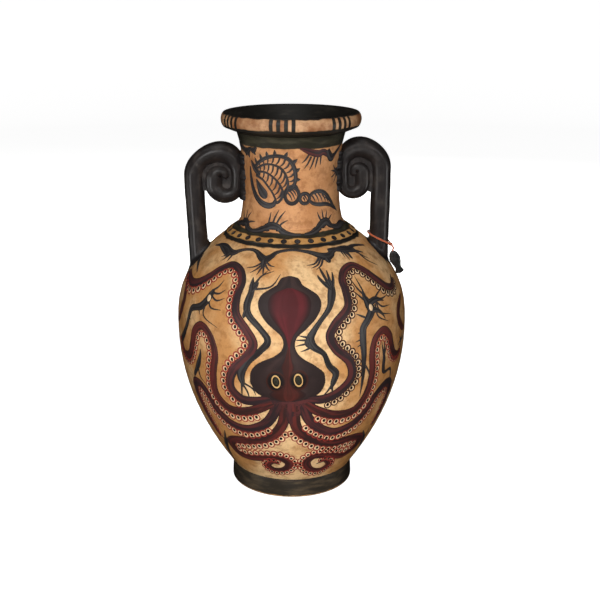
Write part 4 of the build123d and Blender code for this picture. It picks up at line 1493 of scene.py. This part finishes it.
def shell_ribs(outer, inner, count):
    """Ribs across a row of the shell: from even shares of one arc to the same shares of the next."""
    shares = np.linspace(*rib_shares, count)
    arcs = [flowing(arc, rib_arc_steps) for arc in (outer, inner)]
    ends = [[np.interp(shares, np.linspace(0, 1, len(p)), p[:, k]) for k in (0, 1)] for p in arcs]
    return [((a, b), (c, d)) for a, b, c, d in zip(*ends[0], *ends[1])]


def paint_neck(turn):
    """One side of the neck: band fronds, the shell with its ribs, spikes and mouth, and the beads."""
    on_shell = dict(wall=neck_radius, turn=turn + shell_turn)
    on_neck = dict(wall=neck_radius, turn=turn)
    made = [stroke(arc, load=arc_load, **on_shell) for arc in shell_arcs[1:]]
    made += [stroke(arc, load=rim_load, **on_shell) for arc in shell_arcs[:1] + shell_mouth]
    for outer, inner, count in zip(shell_arcs, shell_arcs[1:], rib_counts):
        made += [whisker(a, b, rib_half, bow=rib_bow, **on_shell) for a, b in shell_ribs(outer, inner, count)]
    made += [whisker(a, b, spike_half, **on_shell) for a, b in shell_spikes]
    made += [stroke(points, neck_skin, turn, frond_lift, load=frond_load) for points in neck_fronds]
    made += [stroke(points, load=tail_load, **on_neck) for points in bead_tail]
    made += [whisker(a, b, neck_whisker_half, bow=bow, **on_neck) for a, b, bow in neck_whiskers]
    for place, z, radius, tall in bead_places:
        made.append(rings(place + turn, z, radius, bead_line, neck_radius, tall=tall, sides=bead_sides))
    made += [whisker(a, b, bead_stroke_half, bow=bead_bow, **on_neck) for a, b in bead_strokes]
    return made


def paint_weeds(turn):
    """One side's weeds and garland under the collar."""
    made = [stroke(points, turn=turn, load=weed_load) for points in weeds + garland]
    thin = whiskers + garland_whiskers
    return made + [whisker(a, b, weed_whisker_half, turn=turn, bow=bow) for a, b, bow in thin]


# Slips of the painting: piece, name, colours at a stroke's edge, in its core and deep in it, and settings
broad_streaks = 160.0
slips = {
    "black": (
        "black_brushwork", "black slip brushwork", "#191717", "#3D3A3A", "#242121", dict(core_share=0.85),
    ),
    "maroon": (
        "maroon_arms", "black and maroon slip", "#271E1F", "#552D2C", "#302627", dict(core_share=0.95),
    ),
    "wine": ("wine_arms", "wine red slip", "#291D1D", "#602D29", "#372422", dict(core_share=0.95)),
    "body": ("creature_body", "black slip of the body", "#2B2221", "#392B29", None, dict(rough=0.5)),
    "core": (
        "mantle_core", "wine slip of the mantle", "#251A1A", "#612226", "#481C1E",
        dict(rough=0.55, core_share=0.72, streak_pitch=broad_streaks),
    ),
    "head": (
        "head_core", "umber slip of the head", "#281F1F", "#562620", "#3A1F1B",
        dict(rough=0.5, core_share=0.62, streak_pitch=broad_streaks),
    ),
    "halo": ("eye_halos", "black slip round the eyes", "#3A211C", "#1D1919", "#1D1919", dict(core_share=0.9)),
    "eye": ("eye_pupils", "grey slip in the eyes", "#1A1813", "#37352A", None, dict(core_share=0.9)),
    "red": ("red_sucker_rings", "iron red slip", "#7F2A22", "#A2413A", None, {}),
    "umber": ("umber_sucker_rings", "umber slip", "#331C18", "#4B2721", None, {}),
    "cream": ("cream_suckers", "cream slip", "#D6B288", "#E3C59C", None, dict(core_share=1.1)),
    "cream_eye": ("cream_eyes", "cream slip of the eyes", "#BC945C", "#CDA970", None, dict(core_share=1.1)),
    "pupil": ("sucker_dots", "black slip dots", "#171313", "#201A1A", None, {}),
}


def make_painting():
    """All the brushwork, front and back, each kind of slip one piece."""
    sheets = {slip: [] for slip in slips}
    for turn in (0.0, 180.0):
        for slip, made in paint_creature(turn).items():
            sheets[slip] += made
        sheets["black"] += paint_weeds(turn)
        sheets["maroon"] += [stroke(points, neck_radius, turn) for points in neck_stain]
        sheets["wine"] += [stroke(points, turn=turn, load=loop_load) for points in side_loops]
        buds = np.array(bud_turns) + turn
        sheets["cream"].append(dots(buds, np.array(bud_heights), bud_radius, lift=core_lift, tall=bud_tall))
    finishes = {}
    for slip, (piece, name, edge, core, deep, settings) in slips.items():
        finishes[slip] = brushed_slip(name, edge, core, deep, **settings)
        make_piece(piece, sheets[slip], finishes[slip])
    neck = paint_neck(0.0) + paint_neck(180.0)
    make_piece("neck_brushwork", neck, finishes["black"])
    places = collar_dot_first + 360 / collar_dots * np.arange(collar_dots)
    level = np.full(collar_dots, (shoulder_top + collar_top) / 2 + collar_dot_rise)
    band = dots(places, level, collar_dot_radius, collar_slope, **collar_dot_oval)
    make_piece("collar_dots", [band], finishes["black"])


make_painting()


# Stage, light and camera
photo_side = 600
focal_pixels = 1062.0
sensor = 36.0
camera_place = (7.25, -870.0, 422.0)
camera_aim = (7.25, 0.0, 159.7)
paper_bend = [(2400.0, 0.0), (2753.6, 146.4), (2900.0, 500.0)]
paper_top = 3000.0
paper_sectors = 96
paper_mottle = 120.0

# Soft lamps, aimed at the belly: place, side of the square, power, and whether slip and wax mirror them
lamp_aim = (0, 0, 160)
lamps = {
    "key_softbox": ((-450, -1200, 950), 600, 9.3, True),
    "right_softbox": ((700, -1150, 800), 450, 3.2, True),
    "top_softbox": ((0, -250, 1500), 700, 2.3, True),
    "front_fill": ((0, -1500, 400), 500, 5.1, False),
    "floor_bounce": ((0, -850, 30), 450, 7.2, False),
    "back_softbox": ((250, 1300, 900), 700, 9.0, False),
    "back_fill": ((0, 1500, 400), 500, 5.0, False),
    "back_bounce": ((0, 900, 30), 450, 6.0, False),
}

# Low lamps that only show mirrored, as gleams along the handles
gleam_aim = (0, 0, 225)
gleam_size = (340, 420)
gleam_power = 3.8
gleams = {"left_floor_gleam": (-900, -560, 10), "right_floor_gleam": (1000, -420, 10)}


def hang(name, data, place, aim):
    """A lamp or camera at a place, turned to what it lights or sees, its top upwards."""
    made = bpy.data.objects.new(name, data)
    made.location = [v * MM for v in place]
    way = np.array(aim) - np.array(place)
    made.rotation_euler = (math.atan2(math.hypot(way[X], way[Y]), -way[Z]), 0.0, math.atan2(-way[X], way[Y]))
    bpy.context.scene.collection.objects.link(made)
    return made


def hang_lamp(name, place, aim, width, height, power):
    """A soft oblong lamp."""
    lamp = bpy.data.lights.new(name, "AREA")
    lamp.shape = "RECTANGLE"
    lamp.size = width * MM
    lamp.size_y = height * MM
    lamp.energy = power
    return hang(name, lamp, place, aim)


def make_stage():
    """A pale floor that bends up all round like a dish, soft lights and the camera."""
    scene = bpy.context.scene
    scene.view_settings.view_transform = "Standard"
    paper, put, shader, place = start_finish("pale paper")
    mottle = put(NOISE, {"Vector": place, "Scale": per_metre(paper_mottle), "Detail": 3.0})
    tone = put(MIX, {0: mottle, 6: linear("#BEBEBD"), 7: linear("#C4C4C3")}, **COLOUR)
    glow = {"Emission Color": linear("#FFFFFF"), "Emission Strength": 0.95}
    feed(shader, {"Base Color": tone, "Roughness": 0.9, **glow})
    profile = np.concatenate([[[0.0, 0.0]], arc_through(*paper_bend, 24), [[paper_bend[-1][0], paper_top]]])
    angle = full_turn(paper_sectors)[None, :]
    out = profile[:, :1]
    rise = profile[:, 1:] + 0 * angle
    sweep = make_object("paper_dish", [Sheet(around(out, angle, rise), False, True)], paper)
    sweep.visible_diffuse = False
    sweep.visible_glossy = False
    scene.world = bpy.data.worlds.new("soft studio")
    scene.world.use_nodes = True
    feed(scene.world.node_tree.nodes["Background"], {"Color": linear("#FFFFFF"), "Strength": 1.0})
    scene.world.cycles_visibility.diffuse = False
    scene.world.cycles_visibility.glossy = False
    for name, (spot, side, power, mirrored) in lamps.items():
        hang_lamp(name, spot, lamp_aim, side, side, power).visible_glossy = mirrored
    for name, spot in gleams.items():
        hang_lamp(name, spot, gleam_aim, *gleam_size, gleam_power).visible_diffuse = False
    lens = bpy.data.cameras.new("photo_camera")
    lens.sensor_width = sensor
    lens.lens = focal_pixels / photo_side * sensor
    scene.camera = hang("photo_camera", lens, camera_place, camera_aim)


make_stage()
